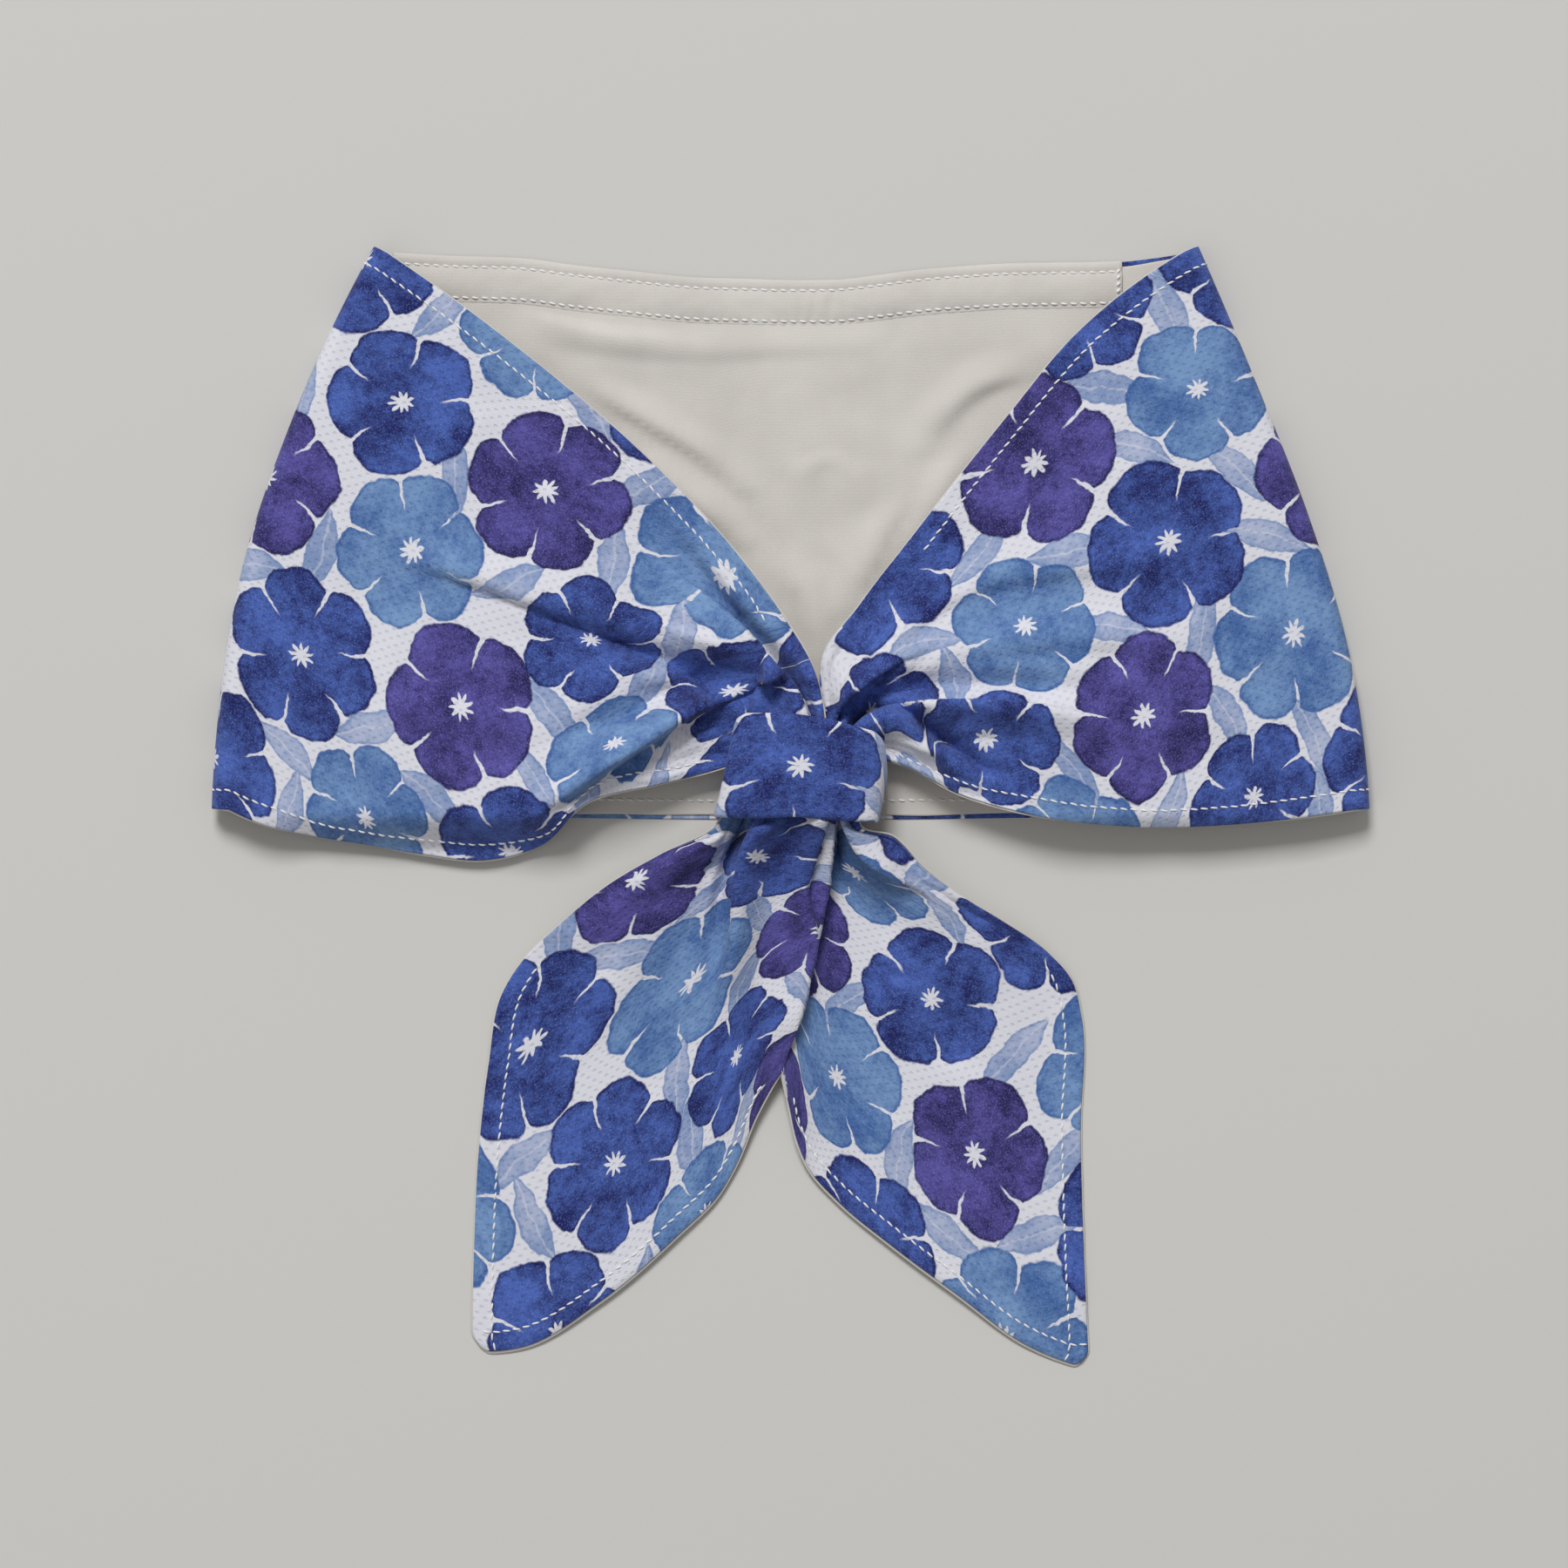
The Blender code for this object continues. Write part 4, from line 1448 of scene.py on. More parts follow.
RIGHT_LOBE = LobeShape(
    side=(
        Outline(0, 1), Outline(0.29, 0.872), Outline(0.52, 0.645), Outline(0.76, 0.335), Outline(1, 0),
    ),
    hem=(
        Bend(0.21, 0.050, 0.2), Bend(0.46, 0.083, 0.45), Bend(0.66, 0.081, 0.35), Bend(0.81, 0.055, 0.1),
        Bend(0.93, 0.010, 0.0),
    ),
    neck=(
        Bend(0.23, -0.065, 0.0), Bend(0.39, -0.073, 0.0), Bend(0.65, -0.080, 0.0),
        Bend(0.80, -0.082, 0.05), Bend(0.91, -0.077, 0.05), Bend(0.945, -0.054, 0.0),
    ),
    end=(
        End(0, 0.93, 0.60, 0.42), End(0.40, 0.70, 0.70, 0.30), End(0.75, 0.46, 0.78, 0.22),
        End(1, 0.28, 0.82, 0.20),
    ),
    folds=(
        Fold("puff", 0.35, 0.45, 0.10, 0.55, 0.35, 0.0, 0.40),
        Fold("upper roll", 0.62, 0.78, 0.30, 0.78, 0.30, 0.15, 0.20),
    ),
    pleats=(
        Pleat("pleat over the hem", 0.0065, 0.8, 0.0080, 0.0032, lean=-0.5, fade=0.6, line=traced(
            1125, 175, 943, 248, 760, 295, 578, 313, 396, 311, 293, 298, 220, 264, 175, 215)),
        Pleat("deep crease under it", -0.0060, 0.9, 0.0028, 0.0040, fade=0.6, line=traced(
            670, 90, 571, 126, 508, 163, 461, 196, 396, 238, 345, 264, 293, 285, 241, 279, 189, 233)),
        Pleat("roll that carries the hem", 0.0036, 0.8, 0.0055, 0.0036, lean=0.1, fade=0.6, line=traced(
            709, 51, 578, 87, 495, 126, 423, 170, 360, 207, 293, 233, 235, 217)),
        Pleat("gully over the pleat", -0.0040, 0.6, 0.0040, 0.0070, fade=0.5, line=traced(
            1021, 316, 813, 352, 605, 363, 423, 357, 279, 337, 175, 274)),
        Pleat("small pleat at the knot", 0.0032, 0.9, 0.0022, 0.0050, lean=0.7, fade=0.5, line=traced(
            436, 501, 319, 436, 215, 371, 150, 306, 123, 227)),
        Pleat("soft valley", -0.0013, 0.5, 0.0100, 0.0120, line=traced(
            1333, 664, 1099, 644, 813, 623, 578, 592, 396, 526)),
        Pleat("soft ridge", 0.0019, 0.6, 0.0060, 0.0140, lean=0.4, line=traced(
            1281, 747, 1021, 727, 760, 709, 578, 675, 410, 592, 279, 475, 175, 357)),
        Pleat("second soft ridge", 0.0018, 0.5, 0.0060, 0.0080, lean=0.2, line=traced(
            1281, 488, 1021, 501, 760, 501, 526, 475, 371, 423)),
        Pleat("low ridge", 0.0011, 0.3, 0.0090, 0.0120, traced(1488, 331, 1281, 254, 1072, 202, 864, 175)),
        Pleat("wrinkle by the edge", -0.0006, 0.4, 0.0020, 0.0030, traced(495, 825, 449, 768, 417, 696)),
    ),
    hang=0.75,
)


@dataclass
class Band(GatheredCloth):
    """The band: the back, its two side folds and the two lobes that are gathered into the loop."""

    shoulder_width: float = 0.3445
    neck_width: float = 0.2457
    height: float = 0.1670
    edge_sag: float = 0.0030
    neck_dips: tuple = (
        (0, 0), (0.09, 0.0013), (0.19, 0.0023), (0.24, 0.0040), (0.31, 0.0058), (0.38, 0.0076),
        (0.45, 0.0082), (0.52, 0.0086), (0.57, 0.0083), (0.61, 0.0071), (0.66, 0.0055), (0.71, 0.0045),
        (0.76, 0.0037), (0.82, 0.0034), (0.90, 0.0029), (1, 0),
    )
    neck_shift: float = -0.0013
    lower_radius: float = 0.0050
    neck_radius: float = 0.0039
    rise: float = 0.0100
    free_length: float = 0.030
    waves: tuple = (Wave(0.0014, 0.040, 3.0), Wave(0.0004, 0.014, 9.0))
    seams: Wave = Wave(0.0003, 0.0085, 2.0)
    gathered: tuple = (0.0021, 13.0, 0.35, 21.0)
    cut_length: float = 0.640
    rows: int = 128
    lobe_columns: int = 130
    fold_columns: int = 12
    back_columns: int = 90
    back_waves: tuple = (Wave(0.0007, 0.040, 5.0), Wave(0.0002, 0.013, 6.0))
    back_lift: float = 0.0006
    calm_sides: float = 0.1
    hang_from: float = -0.001
    hang_over: float = 0.012
    hang_rests: float = 0.0022
    lining_low: tuple[float, float, float] = (0.0006, 0.0019, 0.0010)
    lining_high: tuple[float, float, float] = (0.0004, 0.0008, 0.0007)
    bare_past: tuple[float, float] = (-0.118, 0.094)
    left: LobeShape = LEFT_LOBE
    right: LobeShape = RIGHT_LOBE
    wrinkles: tuple = (
        Pleat("from the left lobe", 0.0019, 0.3, 0.0030, 0.0080, lean=0.1, line=traced(
            -800, 1470, -696, 1444, -540, 1413, -357, 1398)),
        Pleat("long one on the left", 0.0023, 0.4, 0.0080, 0.0026, lean=-0.1, line=traced(
            -657, 1307, -526, 1210, -396, 1132, -279, 1060, -150, 955)),
        Pleat("low left", 0.0032, 0.4, 0.0090, 0.0060, lean=-0.2, line=traced(
            -540, 1085, -410, 994, -279, 904, -150, 800)),
        Pleat("low left, second", -0.0014, 0.4, 0.0060, 0.0040, line=traced(
            -436, 1111, -279, 994, -123, 852, -20, 696)),
        Pleat("from the right lobe", 0.0024, 0.3, 0.0045, 0.0090, lean=0.1, line=traced(
            747, 1309, 657, 1293, 578, 1268, 501, 1215, 443, 1150, 396, 1072)),
        Pleat("right, second", 0.0020, 0.3, 0.0070, 0.0030, line=traced(
            578, 1111, 488, 1034, 423, 930, 357, 825, 282, 719)),
        Pleat("right, low", 0.0026, 0.3, 0.0040, 0.0080, traced(396, 955, 319, 877, 241, 747, 163, 592)),
        Pleat("ring, left", 0.0011, 0.3, 0.0025, 0.0035, traced(46, 877, 27, 955, 59, 1021, 123, 1047)),
        Pleat("ring, right", 0.0011, 0.3, 0.0035, 0.0025, traced(202, 852, 220, 930, 202, 994, 150, 1034)),
        Pleat("low middle", 0.0026, 0.3, 0.0090, 0.0060, traced(-72, 747, 32, 670, 72, 566, 79, 461)),
        Pleat("upper ripple", 0.0008, 0.3, 0.0080, 0.0050, line=traced(
            -696, 1411, -384, 1371, -72, 1377, 241, 1392)),
        Pleat("middle seam", 0.0005, 0.5, 0.0014, 0.0010, fade=0.1, line=traced(
            77, 1444, 74, 1320, 69, 1190, 69, 1060)),
    )

    def _side_fold(self, side: int, outline: Sequence[Outline], shares: Grid) -> tuple[Grid, Grid, Grid]:
        """Finds a side fold.

        Args:
            side: -1 for the left one, 1 for the right one.
            outline: Its silhouette.
            shares: The shares of its length that are asked for.

        Returns:
            The silhouette's points, the way out from each, and the fold's radius there.
        """
        ups, outs = np.array(outline).T
        half_neck = self.neck_width / 2 + side * self.neck_shift
        points = np.zeros((len(ups), 3))
        points[:, 0] = side * (half_neck + outs * (self.shoulder_width / 2 - half_neck))
        points[:, 1] = ups * self.height
        lengths = gone_along(points)
        rim = smooth(lengths, points, shares * lengths[-1])
        way = np.gradient(rim, axis=0)
        out = unit(side * np.stack([way[:, 1], -way[:, 0], way[:, 2]], axis=1))
        return rim, out, self.lower_radius + (self.neck_radius - self.lower_radius) * shares

    def _fold_arc(self, rim: Grid, out: Grid, radius: Grid, angle: float) -> Grid:
        """Gives a line of a side fold's middle surface.

        Args:
            rim: The silhouette's points.
            out: The way out from each.
            radius: The fold's radius there.
            angle: Where round the fold the line lies: -90 degrees is on the back, 90 on the lobe.

        Returns:
            The line's points.
        """
        face = self.plies.to_face
        line = rim - out * (radius + face)[:, None] + out * (radius * math.cos(angle))[:, None]
        line[:, 2] = face + radius * (1 + math.sin(angle))
        return line

    def _lobe(self, start: Grid, shape: LobeShape) -> Grid:
        """Makes the middle surface of a lobe.

        Args:
            start: The side fold's line, where the lobe begins.
            shape: What gives it its shape.

        Returns:
            The points, from the fold to the loop.
        """
        across = shares_across(self.rows)
        last = self.loop.gathered_end(shape.end, across)
        shares = crowded(self.lobe_columns)
        lower = edge(start[0], last[0], shape.hem, self.rise, shares)
        upper = edge(start[-1], last[-1], shape.neck, self.rise, shares)
        surface = patch(lower, upper, start, last, across)
        surface = self._worked(surface, across, shape.folds, shape.pleats)
        surface[..., 2] -= self._droop(surface, shape.hang)
        return surface

    def middle(self) -> Panel:
        """Makes the middle surface of the whole band, from the right lobe round the back to the left lobe.

        Returns:
            The surface.
        """
        across = shares_across(self.rows)
        right = self._side_fold(1, self.right.side, across)
        left = self._side_fold(-1, self.left.side, across)
        on_back, on_lobe = -math.pi / 2, math.pi / 2
        back_right, back_left = self._fold_arc(*right, on_back), self._fold_arc(*left, on_back)
        shares = np.linspace(1, 0, self.back_columns + 1)
        lower = self._sagging(back_right[0], back_left[0], self.edge_sag * 4 * shares * (1 - shares))
        upper = self._sagging(back_right[-1], back_left[-1], self.neck_dip(shares))
        back = patch(lower, upper, back_right, back_left, across)
        back = press_pleats(back, self.wrinkles)
        t = np.linspace(0, 1, len(back))[:, None]
        sides = ease(t / self.calm_sides) * ease((1 - t) / self.calm_sides)
        soft = sides * ease(across / 0.05) * ease((0.93 - across) / 0.08)
        back[..., 2] += soft * sum((ruffle(back, *wave) for wave in self.back_waves), self.back_lift)
        back[..., 2] = np.maximum(back[..., 2], self.plies.to_face)
        turns = np.linspace(on_back, on_lobe, self.fold_columns + 1)
        right_turn = np.array([self._fold_arc(*right, angle) for angle in turns[:0:-1]])
        left_turn = np.array([self._fold_arc(*left, angle) for angle in turns[1:]])
        right_lobe = self._lobe(right_turn[0], self.right)
        left_lobe = self._lobe(left_turn[-1], self.left)
        points = np.concatenate([right_lobe[:0:-1], right_turn, back, left_turn, left_lobe[1:]])
        row = self.rows // 2
        along = lengths_of(points, 0)[:, row][:, None] * np.ones_like(across)[None]
        cross = lengths_of(points, 1)
        return Panel(points, np.stack([along, cross - cross[:, row][:, None]], -1))

    def _droop(self, surface: Grid, hang: float) -> Grid:
        """Gives how far a lobe's hem hangs down past the back's lower edge."""
        below = ease((self.hang_from - surface[..., 1]) / self.hang_over)
        past = below * ease(lengths_of(surface, 0) / self.free_length)
        return hang * past * np.clip(surface[..., 2] - self.hang_rests, 0, None)

    def _on_back(self, count: int) -> Grid:
        """Tells, for each place along the band, how much of it is on the back: 0 on the lobes.

        Args:
            count: How many places there are.

        Returns:
            The shares.
        """
        k = np.arange(count)
        first, last = self.lobe_columns, self.lobe_columns + 2 * self.fold_columns + self.back_columns
        return ease((k - first) / self.fold_columns) * ease((last - k) / self.fold_columns)

    def neck_dip(self, shares: Grid) -> Grid:
        """Gives how far the back's neck edge dips, by share of its width from the left."""
        at, dips = np.array(self.neck_dips).T
        return smooth(at, dips[:, None], shares)[:, 0]

    def _sagging(self, start: Grid, end: Grid, dips: Grid) -> Grid:
        """Gives a line between two points that dips towards -Y.

        Args:
            start: Its first point.
            end: Its last point.
            dips: How far each of its points dips.

        Returns:
            The line's points.
        """
        t = np.linspace(0, 1, self.back_columns + 1)[:, None]
        line = start + (end - start) * t
        line[:, 1] -= dips
        return line

    def _lining_reach(self, panel: Panel, on_back: Grid) -> tuple[Grid, Grid]:
        """Tells how far the lining reaches past the middle surface's edges, where the print shows beside it.

        Args:
            panel: The band's middle surface.
            on_back: How much of each place along the band is on the back.

        Returns:
            The reach at the lower and at the upper edge, for each place along the band.
        """
        x = panel.points[:, -1, 0]
        uneven = np.array([noise.noise(Vector((a / 0.018, 4.0, 0))) for a in x])
        bare = ease((x - self.bare_past[1]) / 0.004) + ease((self.bare_past[0] - x) / 0.004)
        out, back, wavy = self.lining_low
        low = out - on_back * (back + wavy * uneven)
        out, back, wavy = self.lining_high
        return low, out - on_back * (back + wavy * bare * (1 + uneven))

    @property
    def on_back(self) -> slice:
        """Tells which places along the band lie on the back."""
        first = self.lobe_columns + self.fold_columns
        return slice(first, first + self.back_columns)

    def build(self) -> Panel:
        """Makes both plies.

        Returns:
            The middle surface.
        """
        panel = self.middle()
        reach = self._lining_reach(panel, self._on_back(len(panel.points)))
        outer, inner = self._layers(panel, panel, reach, "band_print", "band_lining_cloth")
        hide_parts("band_outer")
        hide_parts("band_lining")
        return panel


@dataclass
class Tail(GatheredCloth):
    """The forked tail that comes out under the loop."""

    drop: float = 0.1635
    left_lift: float = 0.032
    spread: float = 0.1835
    shift: float = -0.0029
    notch_drop: float = 0.0750
    rise: float = 0.0090
    free_length: float = 0.02
    waves: tuple = (Wave(0.0012, 0.034, 13.0), Wave(0.0004, 0.013, 17.0))
    lift: float = 0.0004
    seams: Wave = Wave(0.0003, 0.0085, 5.0)
    gathered: tuple = (0.0022, 13.0, 0.40, 31.0)
    corner: float = 0.0058
    cut_length: float = 0.165
    lining_past: float = 0.0009
    lining_wider: float = 0.0006
    cut_from: tuple[float, float] = (0.41, 0.05)
    rows: int = 110
    columns: int = 120
    left_edge: tuple = (
        Bend(0.04, 0.000, 0.0), Bend(0.13, -0.064, -0.15), Bend(0.21, -0.120, -0.30),
        Bend(0.31, -0.168, -0.45), Bend(0.38, -0.195, -0.55), Bend(0.45, -0.204, -0.55),
        Bend(0.56, -0.176, -0.50), Bend(0.70, -0.129, -0.40), Bend(0.86, -0.063, -0.20),
    )
    right_edge: tuple = (
        Bend(0.035, -0.010, 0.0), Bend(0.08, 0.022, -0.05), Bend(0.14, 0.048, -0.15),
        Bend(0.20, 0.084, -0.25), Bend(0.27, 0.137, -0.40), Bend(0.34, 0.184, -0.50),
        Bend(0.40, 0.205, -0.55), Bend(0.46, 0.198, -0.55), Bend(0.63, 0.130, -0.45),
        Bend(0.84, 0.054, -0.25),
    )
    left_hem: tuple = (
        Bend(0.09, -0.070, 0.0), Bend(0.31, -0.117, 0.0), Bend(0.56, -0.124, -0.1),
        Bend(0.69, -0.118, -0.2), Bend(0.77, -0.093, -0.2), Bend(0.89, -0.037, -0.1),
    )
    right_hem: tuple = (
        Bend(0.07, -0.045, 0.0), Bend(0.14, -0.091, -0.1), Bend(0.20, -0.116, -0.2),
        Bend(0.31, -0.125, -0.2), Bend(0.46, -0.113, -0.1), Bend(0.66, -0.088, 0.0),
        Bend(0.86, -0.060, 0.0),
    )
    end: tuple = (
        End(0, -0.95, 0.20, 0.35), End(0.20, -0.62, 0.20, 0.25), End(0.42, -0.12, 0.20, 0.30),
        End(0.54, 0.36, 0.20, 0.25), End(0.75, 0.66, 0.20, 0.18), End(1, 0.95, 0.20, 0.35),
    )
    folds: tuple = (
        Fold("left panel", 0.16, 0.12, 0.35, 0.75, 0.40, 0.10, 0.16),
        Fold("front pleat's body", 0.42, 0.42, 0.05, 0.80, 0.50, 0.25, 0.17),
        Fold("right panel", 0.80, 0.80, 0.20, 0.60, 0.35, 0.10, 0.18),
    )
    tail_pleats: tuple = (
        Pleat("left leg over the right one", 0.0050, 0.8, 0.0090, 0.0024, lean=-1.1, fade=0.25, line=traced(
            -51, -813, -12, -722, 35, -605, 64, -475, 90, -345, 108, -267, 121, -150, 129, -32, 129, 72)),
        Pleat("front pleat's right edge", 0.0042, 0.9, 0.0050, 0.0016, lean=-0.5, line=traced(
            14, -475, 22, -345, 27, -227, 46, -131, 69, -32, 74, 72)),
        Pleat("front pleat's left edge", 0.0074, 0.9, 0.0023, 0.0080, lean=0.3, line=traced(
            -222, -631, -194, -501, -173, -345, -163, -215, -142, -123, -111, -46, -103, 72)),
        Pleat("gully left of it", -0.0060, 0.8, 0.0034, 0.0026, line=traced(
            -272, -578, -241, -475, -220, -345, -204, -227, -175, -123, -139, -46, -129, 72)),
        Pleat("first small crease", -0.0024, 0.9, 0.0014, 0.0020, line=traced(
            -212, -215, -186, -150, -155, -85, -129, -27, -123, 72)),
        Pleat("second small crease", -0.0024, 0.9, 0.0014, 0.0022, line=traced(
            -259, -189, -225, -131, -191, -72, -163, -25, -155, 72)),
        Pleat("small pleat between them", 0.0022, 0.9, 0.0015, 0.0022, lean=0.5, line=traced(
            -248, -241, -207, -150, -170, -79, -144, -27, -137, 72)),
        Pleat("dark gap", -0.0055, 0.9, 0.0026, 0.0030, line=traced(
            116, -345, 126, -241, 137, -150, 142, -72, 142, -20, 142, 72)),
        Pleat("right roll", 0.0056, 0.8, 0.0026, 0.0070, lean=0.8, fade=0.6, line=traced(
            475, -279, 371, -230, 282, -196, 215, -152, 175, -90, 152, -32, 147, 72)),
        Pleat("hollow", -0.0030, 0.5, 0.0070, 0.0080, traced(267, -578, 215, -475, 178, -345, 168, -215)),
        Pleat("small crease in the hollow", -0.0013, 0.3, 0.0018, 0.0030, fade=0.3, line=traced(
            423, -493, 319, -503, 227, -469, 157, -402)),
        Pleat("soft valley of the right leg", -0.0022, 0.5, 0.0080, 0.0100, line=traced(
            631, -553, 501, -657, 345, -774, 202, -870)),
        Pleat("soft ridge of the left leg", 0.0016, 0.5, 0.0100, 0.0090, line=traced(
            -696, -787, -566, -605, -410, -396, -279, -215)),
        Pleat("left leg's low valley", -0.0012, 0.4, 0.0080, 0.0080, line=traced(
            -800, -1047, -644, -943, -461, -787, -331, -631)),
        Pleat("right leg's low ridge", 0.0015, 0.4, 0.0090, 0.0090, line=traced(
            735, -969, 553, -864, 396, -683, 267, -526)),
        Pleat("left edge's shoulder", 0.0015, 0.6, 0.0050, 0.0080, line=traced(
            -566, -319, -436, -215, -306, -111, -215, -46, -196, 59)),
    )

    def middle(self) -> Panel:
        """Makes the middle surface, from the hem up to the loop and from right to left.

        Returns:
            The surface.
        """
        level = self.plies.under
        tips_y = -self.loop.drop - self.drop
        left_tip = np.array([self.shift - self.spread / 2, tips_y + self.left_lift * self.drop, level])
        right_tip = np.array([self.shift + self.spread / 2, tips_y, level])
        notch = np.array([self.shift, -self.loop.drop - self.notch_drop, level + 0.5 * self.rise])
        half = shares_across(self.columns // 2, 0.5)
        hem_left = edge(left_tip, notch, self.left_hem, self.rise, half)
        hem_right = edge(notch, right_tip, self.right_hem, self.rise, half)
        hem = np.concatenate([hem_left, hem_right[1:]])
        across = np.concatenate([half / 2, 0.5 + half[1:] / 2])
        last = self.loop.gathered_end(self.end, across)
        down = 1 - crowded(self.rows)
        left = edge(last[0], left_tip, self.left_edge, self.rise, down)
        right = edge(last[-1], right_tip, self.right_edge, self.rise, down)
        surface = patch(left, right, hem, last, across)
        surface = self._worked(surface, across, self.folds, self.tail_pleats)
        surface[..., 2] = np.maximum(surface[..., 2], level)
        surface = round_corner(round_corner(surface, 0, 0, self.corner), 0, -1, self.corner)
        surface = surface[:, ::-1]
        row = self.columns // 2
        along = lengths_of(surface, 0)[:, row // 2][:, None] * np.ones(surface.shape[1])[None]
        cross = lengths_of(surface, 1)
        flat = np.stack([cross - cross[:, row][:, None], along], -1) + self.cut_from
        return Panel(surface, flat)

    def build(self) -> Panel:
        """Makes both plies.

        Returns:
            The middle surface.
        """
        panel = self.middle()
        longer = panel.points.copy()
        longer[0] += self.lining_past * unit(longer[0] - longer[1])
        under, reach = Panel(longer, panel.flat), (self.lining_wider, self.lining_wider)
        outer, inner = self._layers(panel, under, reach, "tail_print", "tail_lining_cloth")
        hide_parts("tail_outer")
        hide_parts("tail_lining")
        return panel


@dataclass
class Casing:
    """The stitched strip along the neck edge of the back."""

    finish: bpy.types.Material
    band: Band
    length: float = 0.2170
    width: float = 0.0134
    inset: float = 0.0012
    shift: float = -0.0085
    thick: float = 0.0005
    sunk: float = 0.00045
    rows: tuple = (0.0030, 0.0122)
    tack_inset: float = 0.0010
    puff: float = 0.0008
    lip: float = 0.0004
    drawn: float = 0.00016
    pucker_pitch: float = 0.0033
    beside: float = 0.0016
    bunched: float = 0.00022
    bunch_pitch: float = 0.0042
    bunched_at: float = 0.0085
    bunched_over: float = 0.007
    soft: Wave = Wave(0.00035, 0.014, 8.0)
    places: tuple[int, int] = (260, 30)

    def _puff(self, surface: Grid, downs: Grid) -> Grid:
        """Gives how far the strip puffs up between its edges and its two rows of stitches.

        Args:
            surface: The strip's points.
            downs: Their distances from its upper edge.

        Returns:
            The heights to add.
        """
        first, second = self.rows
        between = np.sin(np.pi * np.clip((downs - first) / (second - first), 0, 1)) ** 0.6
        above = np.sin(np.pi * np.clip(downs / first, 0, 1)) ** 0.8
        x = surface[:, 0, 0]
        uneven = np.array([noise.noise(Vector((a / 0.009, 3.0, 0))) for a in x])
        pucker = np.sin(2 * math.pi * x / self.pucker_pitch + 5 * uneven) * (0.3 + np.abs(uneven))
        beside = sum(np.exp(-(((downs - row) / self.beside) ** 2)) for row in self.rows)
        around = np.exp(-(((x - self.bunched_at) / self.bunched_over) ** 2))
        bunched = np.sin(2 * math.pi * x / self.bunch_pitch + 3 * uneven) * around
        puffed = self.puff * between + self.lip * above + self.drawn * pucker[:, None] * beside
        return puffed + between * (ruffle(surface, *self.soft) + self.bunched * bunched[:, None])

    def build(self) -> Panel:
        """Makes the strip.

        Returns:
            Its surface.
        """
        x = np.linspace(-self.length / 2, self.length / 2, self.places[0]) + self.shift
        dip = self.band.neck_dip(x / self.band.neck_width + 0.5)
        upper = self.band.height - dip - self.inset
        downs = np.linspace(0, self.width, self.places[1])
        surface = np.zeros((len(x), len(downs), 3))
        surface[..., 0] = (x + self.band.neck_shift)[:, None]
        surface[..., 1] = upper[:, None] - downs[None]
        surface[..., 2] = 2 * self.band.plies.to_face - self.sunk
        surface[..., 2] += self._puff(surface, downs)
        surface = surface[:, ::-1]
        panel = Panel(surface, surface[..., :2])
        piece = ply("casing_cloth", panel, Lies.OUTSIDE, 0.0, self.thick, self.finish)
        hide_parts("neck_casing")
        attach(piece, "root")
        log.info("casing: %d points", surface.shape[0] * surface.shape[1])
        return panel


@dataclass
class Topstitching:
    """Every row of stitches on the wrap."""

    finish: bpy.types.Material
    plies: Plies
    margin: float = 0.0055
    hidden: float = 0.0110
    floor_gap: float = 0.0004
    underside: float = -0.3
    rolled_above: float = -0.0450
    neck_rolled: tuple[float, float] = (0.0540, 0.0760)

    def build(self, band: Panel, tail: Panel, strip: Panel, casing: Casing, on_back: slice) -> None:
        """Sews the rows.

        Args:
            band: The band's middle surface.
            tail: The tail's middle surface.
            strip: The casing's surface.
            casing: The casing.
            on_back: Which places along the band lie on the back.
        """
        rows = Stitching(self.finish)
        for panel, edges in ((band, ("lower", "upper")), (tail, ("lower", "upper", "first"))):
            for which in edges:
                line, up = line_inside(panel, Lies.OUTSIDE, self.plies.to_face, self.margin, which)
                gone = gone_along(line)
                line = line - up * self.floor_gap * (up[:, 2:] < self.underside)
                if panel is band:
                    rolled = np.where(line[:, 0] > 0, self.neck_rolled[1], self.neck_rolled[0])
                    seen = (gone > self.hidden) & (gone < gone[-1] - self.hidden)
                    runs = [seen & (line[:, 1] > rolled) if which == "upper" else seen]
                elif which == "first":
                    notch = gone[line[:, 1].argmax()]
                    runs = [gone < notch - self.hidden, gone > notch + self.hidden]
                else:
                    runs = [line[:, 1] < self.rolled_above]
                for run in runs:
                    rows.sew(line[run], up[run], HEM_STITCH)
        line, up = line_inside(band, Lies.INSIDE, self.plies.under, self.margin, "lower")
        rows.sew(line[on_back], up[on_back], HEM_STITCH)
        for inset in casing.rows:
            line, up = line_inside(strip, Lies.OUTSIDE, casing.thick, inset, "upper")
            rows.sew(line, up, CASING_STITCH)
        line, up = line_inside(strip, Lies.OUTSIDE, casing.thick, casing.tack_inset, "last")
        rows.sew(line, up, TACK_STITCH)
        piece = rows.piece("topstitching")
        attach(piece, "root")
        log.info("stitches: %d faces", len(rows.faces))


class Lamp(NamedTuple):
    """A square soft light that faces the wrap."""

    name: str
    place: tuple[float, float, float]
    size: float
    power: float


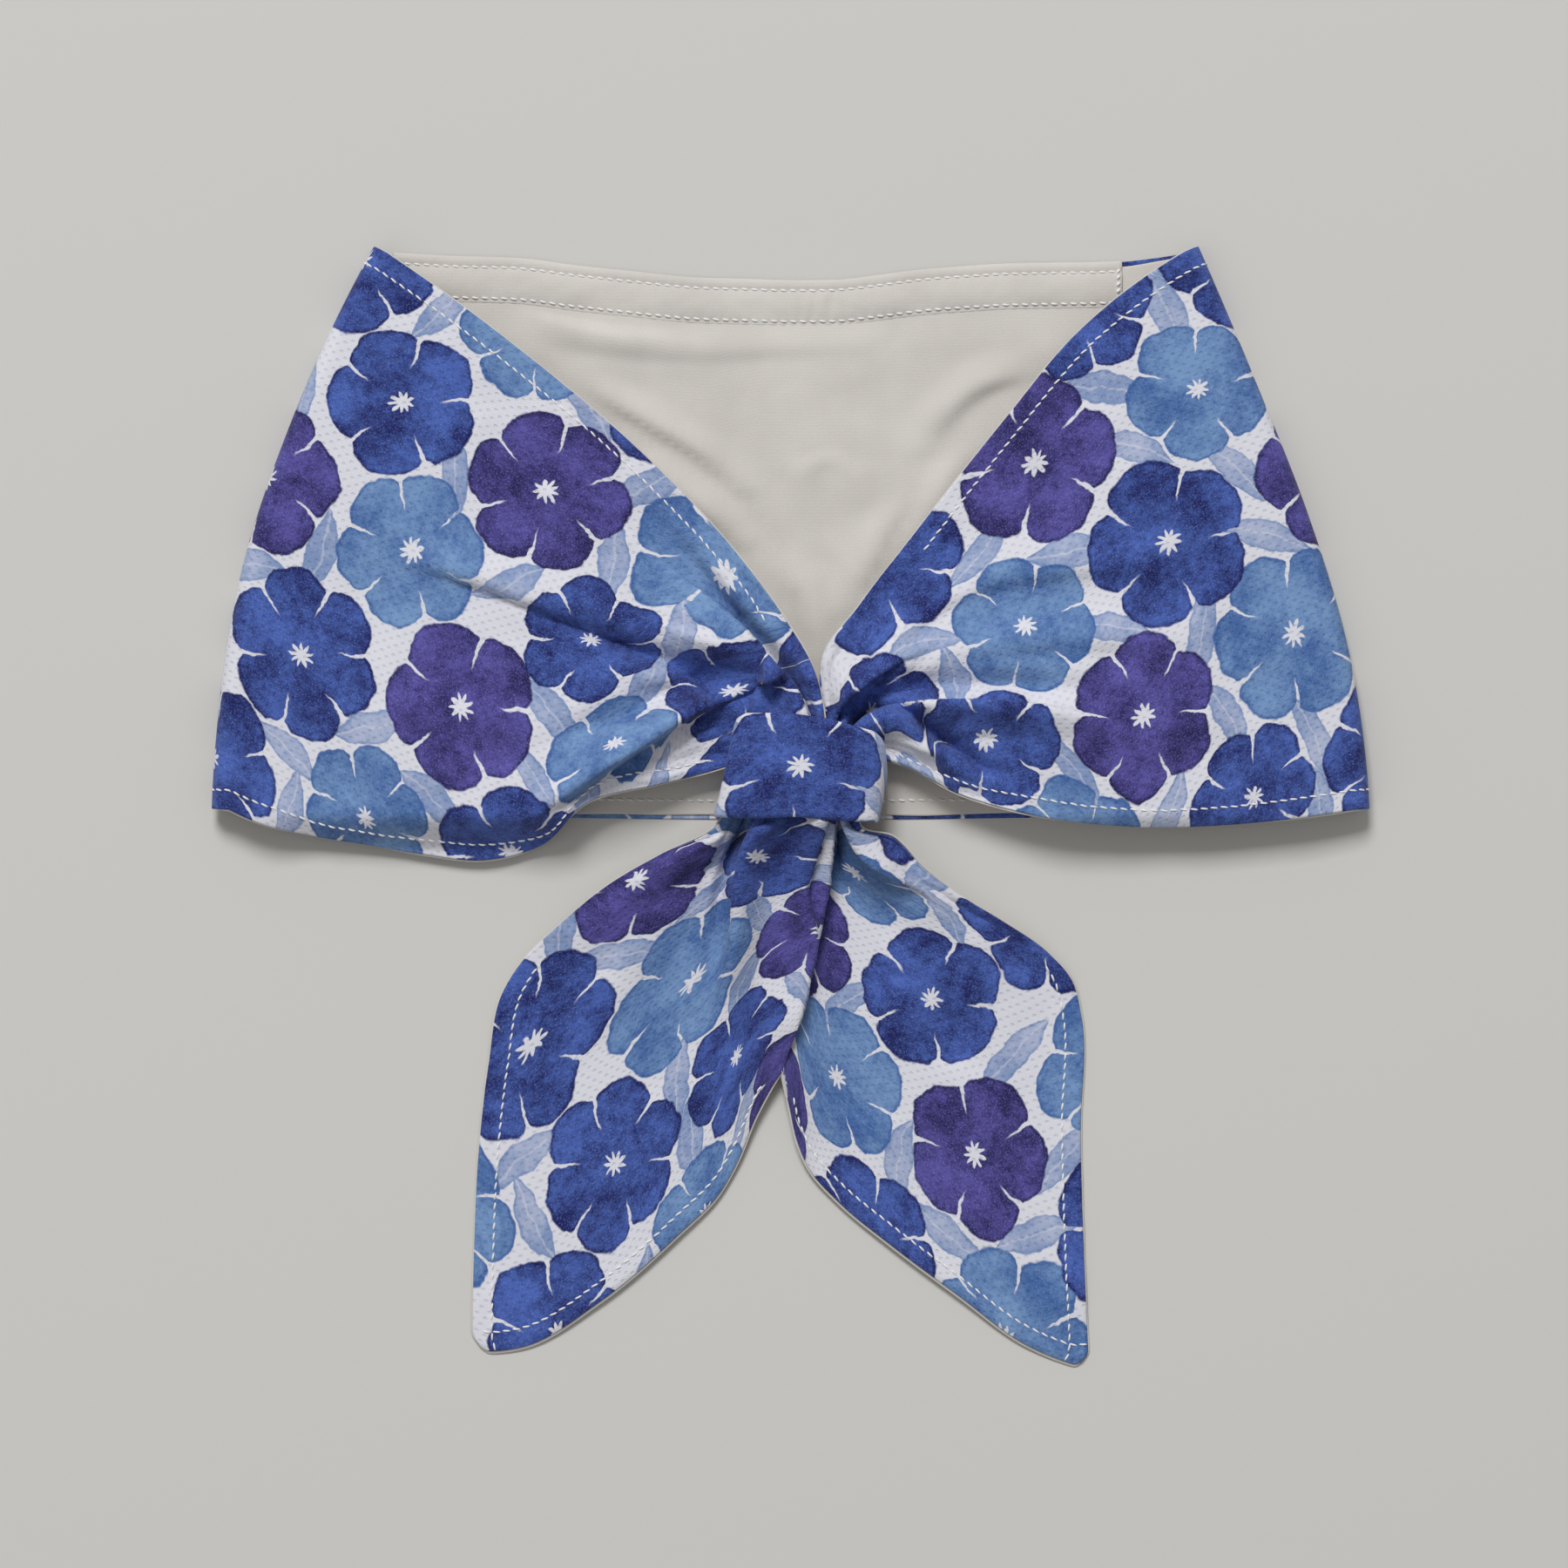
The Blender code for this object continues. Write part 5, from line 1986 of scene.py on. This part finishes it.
@dataclass
class Studio:
    """The plain floor, the soft light and the camera straight above."""

    lamps: tuple = (Lamp("key", (-0.8, 3.75, 4.50), 2.0, 270.0), Lamp("fill", (-1.6, -0.9, 2.4), 2.2, 6.0))
    sky: float = 0.31
    floor_size: float = 6.0
    sensor: float = 36.0
    view_width: float = 0.468
    middle_x: float = -0.00195
    middle_y: float = 0.00715
    distance: float = 1.8
    floor_color: Color = (0.600, 0.590, 0.562)

    def build(self) -> None:
        """Sets up the stage."""
        bpy.ops.mesh.primitive_plane_add(size=self.floor_size, location=(0, 0, 0))
        floor = bpy.context.object
        floor.name = "floor"
        made, _, shader = cloth_shader("pale floor")
        shader.inputs["Base Color"].default_value = (*self.floor_color, 1)
        shader.inputs["Roughness"].default_value = 0.9
        shader.inputs["Specular IOR Level"].default_value = 0.1
        floor.data.materials.append(made)
        for lamp in self.lamps:
            self._light(lamp)
        world = bpy.data.worlds.new("studio")
        world.use_nodes = True
        sky = world.node_tree.nodes["Background"].inputs
        sky[0].default_value = (1.0, 1.0, 1.0, 1)
        sky[1].default_value = self.sky
        bpy.context.scene.view_settings.view_transform = "Standard"
        bpy.context.scene.world = world
        camera = bpy.data.cameras.new("camera")
        camera.sensor_width = self.sensor
        camera.lens = self.sensor * self.distance / self.view_width
        held = bpy.data.objects.new("camera", camera)
        held.location = (self.middle_x, self.middle_y, self.distance)
        bpy.context.scene.collection.objects.link(held)
        bpy.context.scene.camera = held

    @staticmethod
    def _light(lamp: Lamp) -> None:
        """Hangs a lamp, turned to the middle of the wrap.

        Args:
            lamp: The lamp.
        """
        light = bpy.data.lights.new(lamp.name, "AREA")
        light.size = lamp.size
        light.energy = lamp.power
        held = bpy.data.objects.new(lamp.name, light)
        held.location = lamp.place
        held.rotation_euler = (-Vector(lamp.place)).to_track_quat("-Z", "Y").to_euler()
        bpy.context.scene.collection.objects.link(held)


def main() -> None:
    """Builds the wrap piece by piece, then the studio."""
    logging.basicConfig(level=logging.INFO, format="%(name)s: %(message)s")
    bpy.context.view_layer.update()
    effects = Effects()
    printed = PrintedMesh().material("printed mesh", effects)
    lining = BeigeTricot().material("beige lining", effects)
    thread = Thread().material("thread")
    plies = Plies()
    loop = KnotLoop(printed)
    band = Band(loop, plies, printed, lining)
    tail = Tail(loop, plies, printed, lining)
    band_panel = band.build()
    tail_panel = tail.build()
    casing = Casing(lining, band)
    strip = casing.build()
    loop.build()
    Topstitching(thread, plies).build(band_panel, tail_panel, strip, casing, band.on_back)
    Studio().build()


if __name__ == "__main__":
    main()
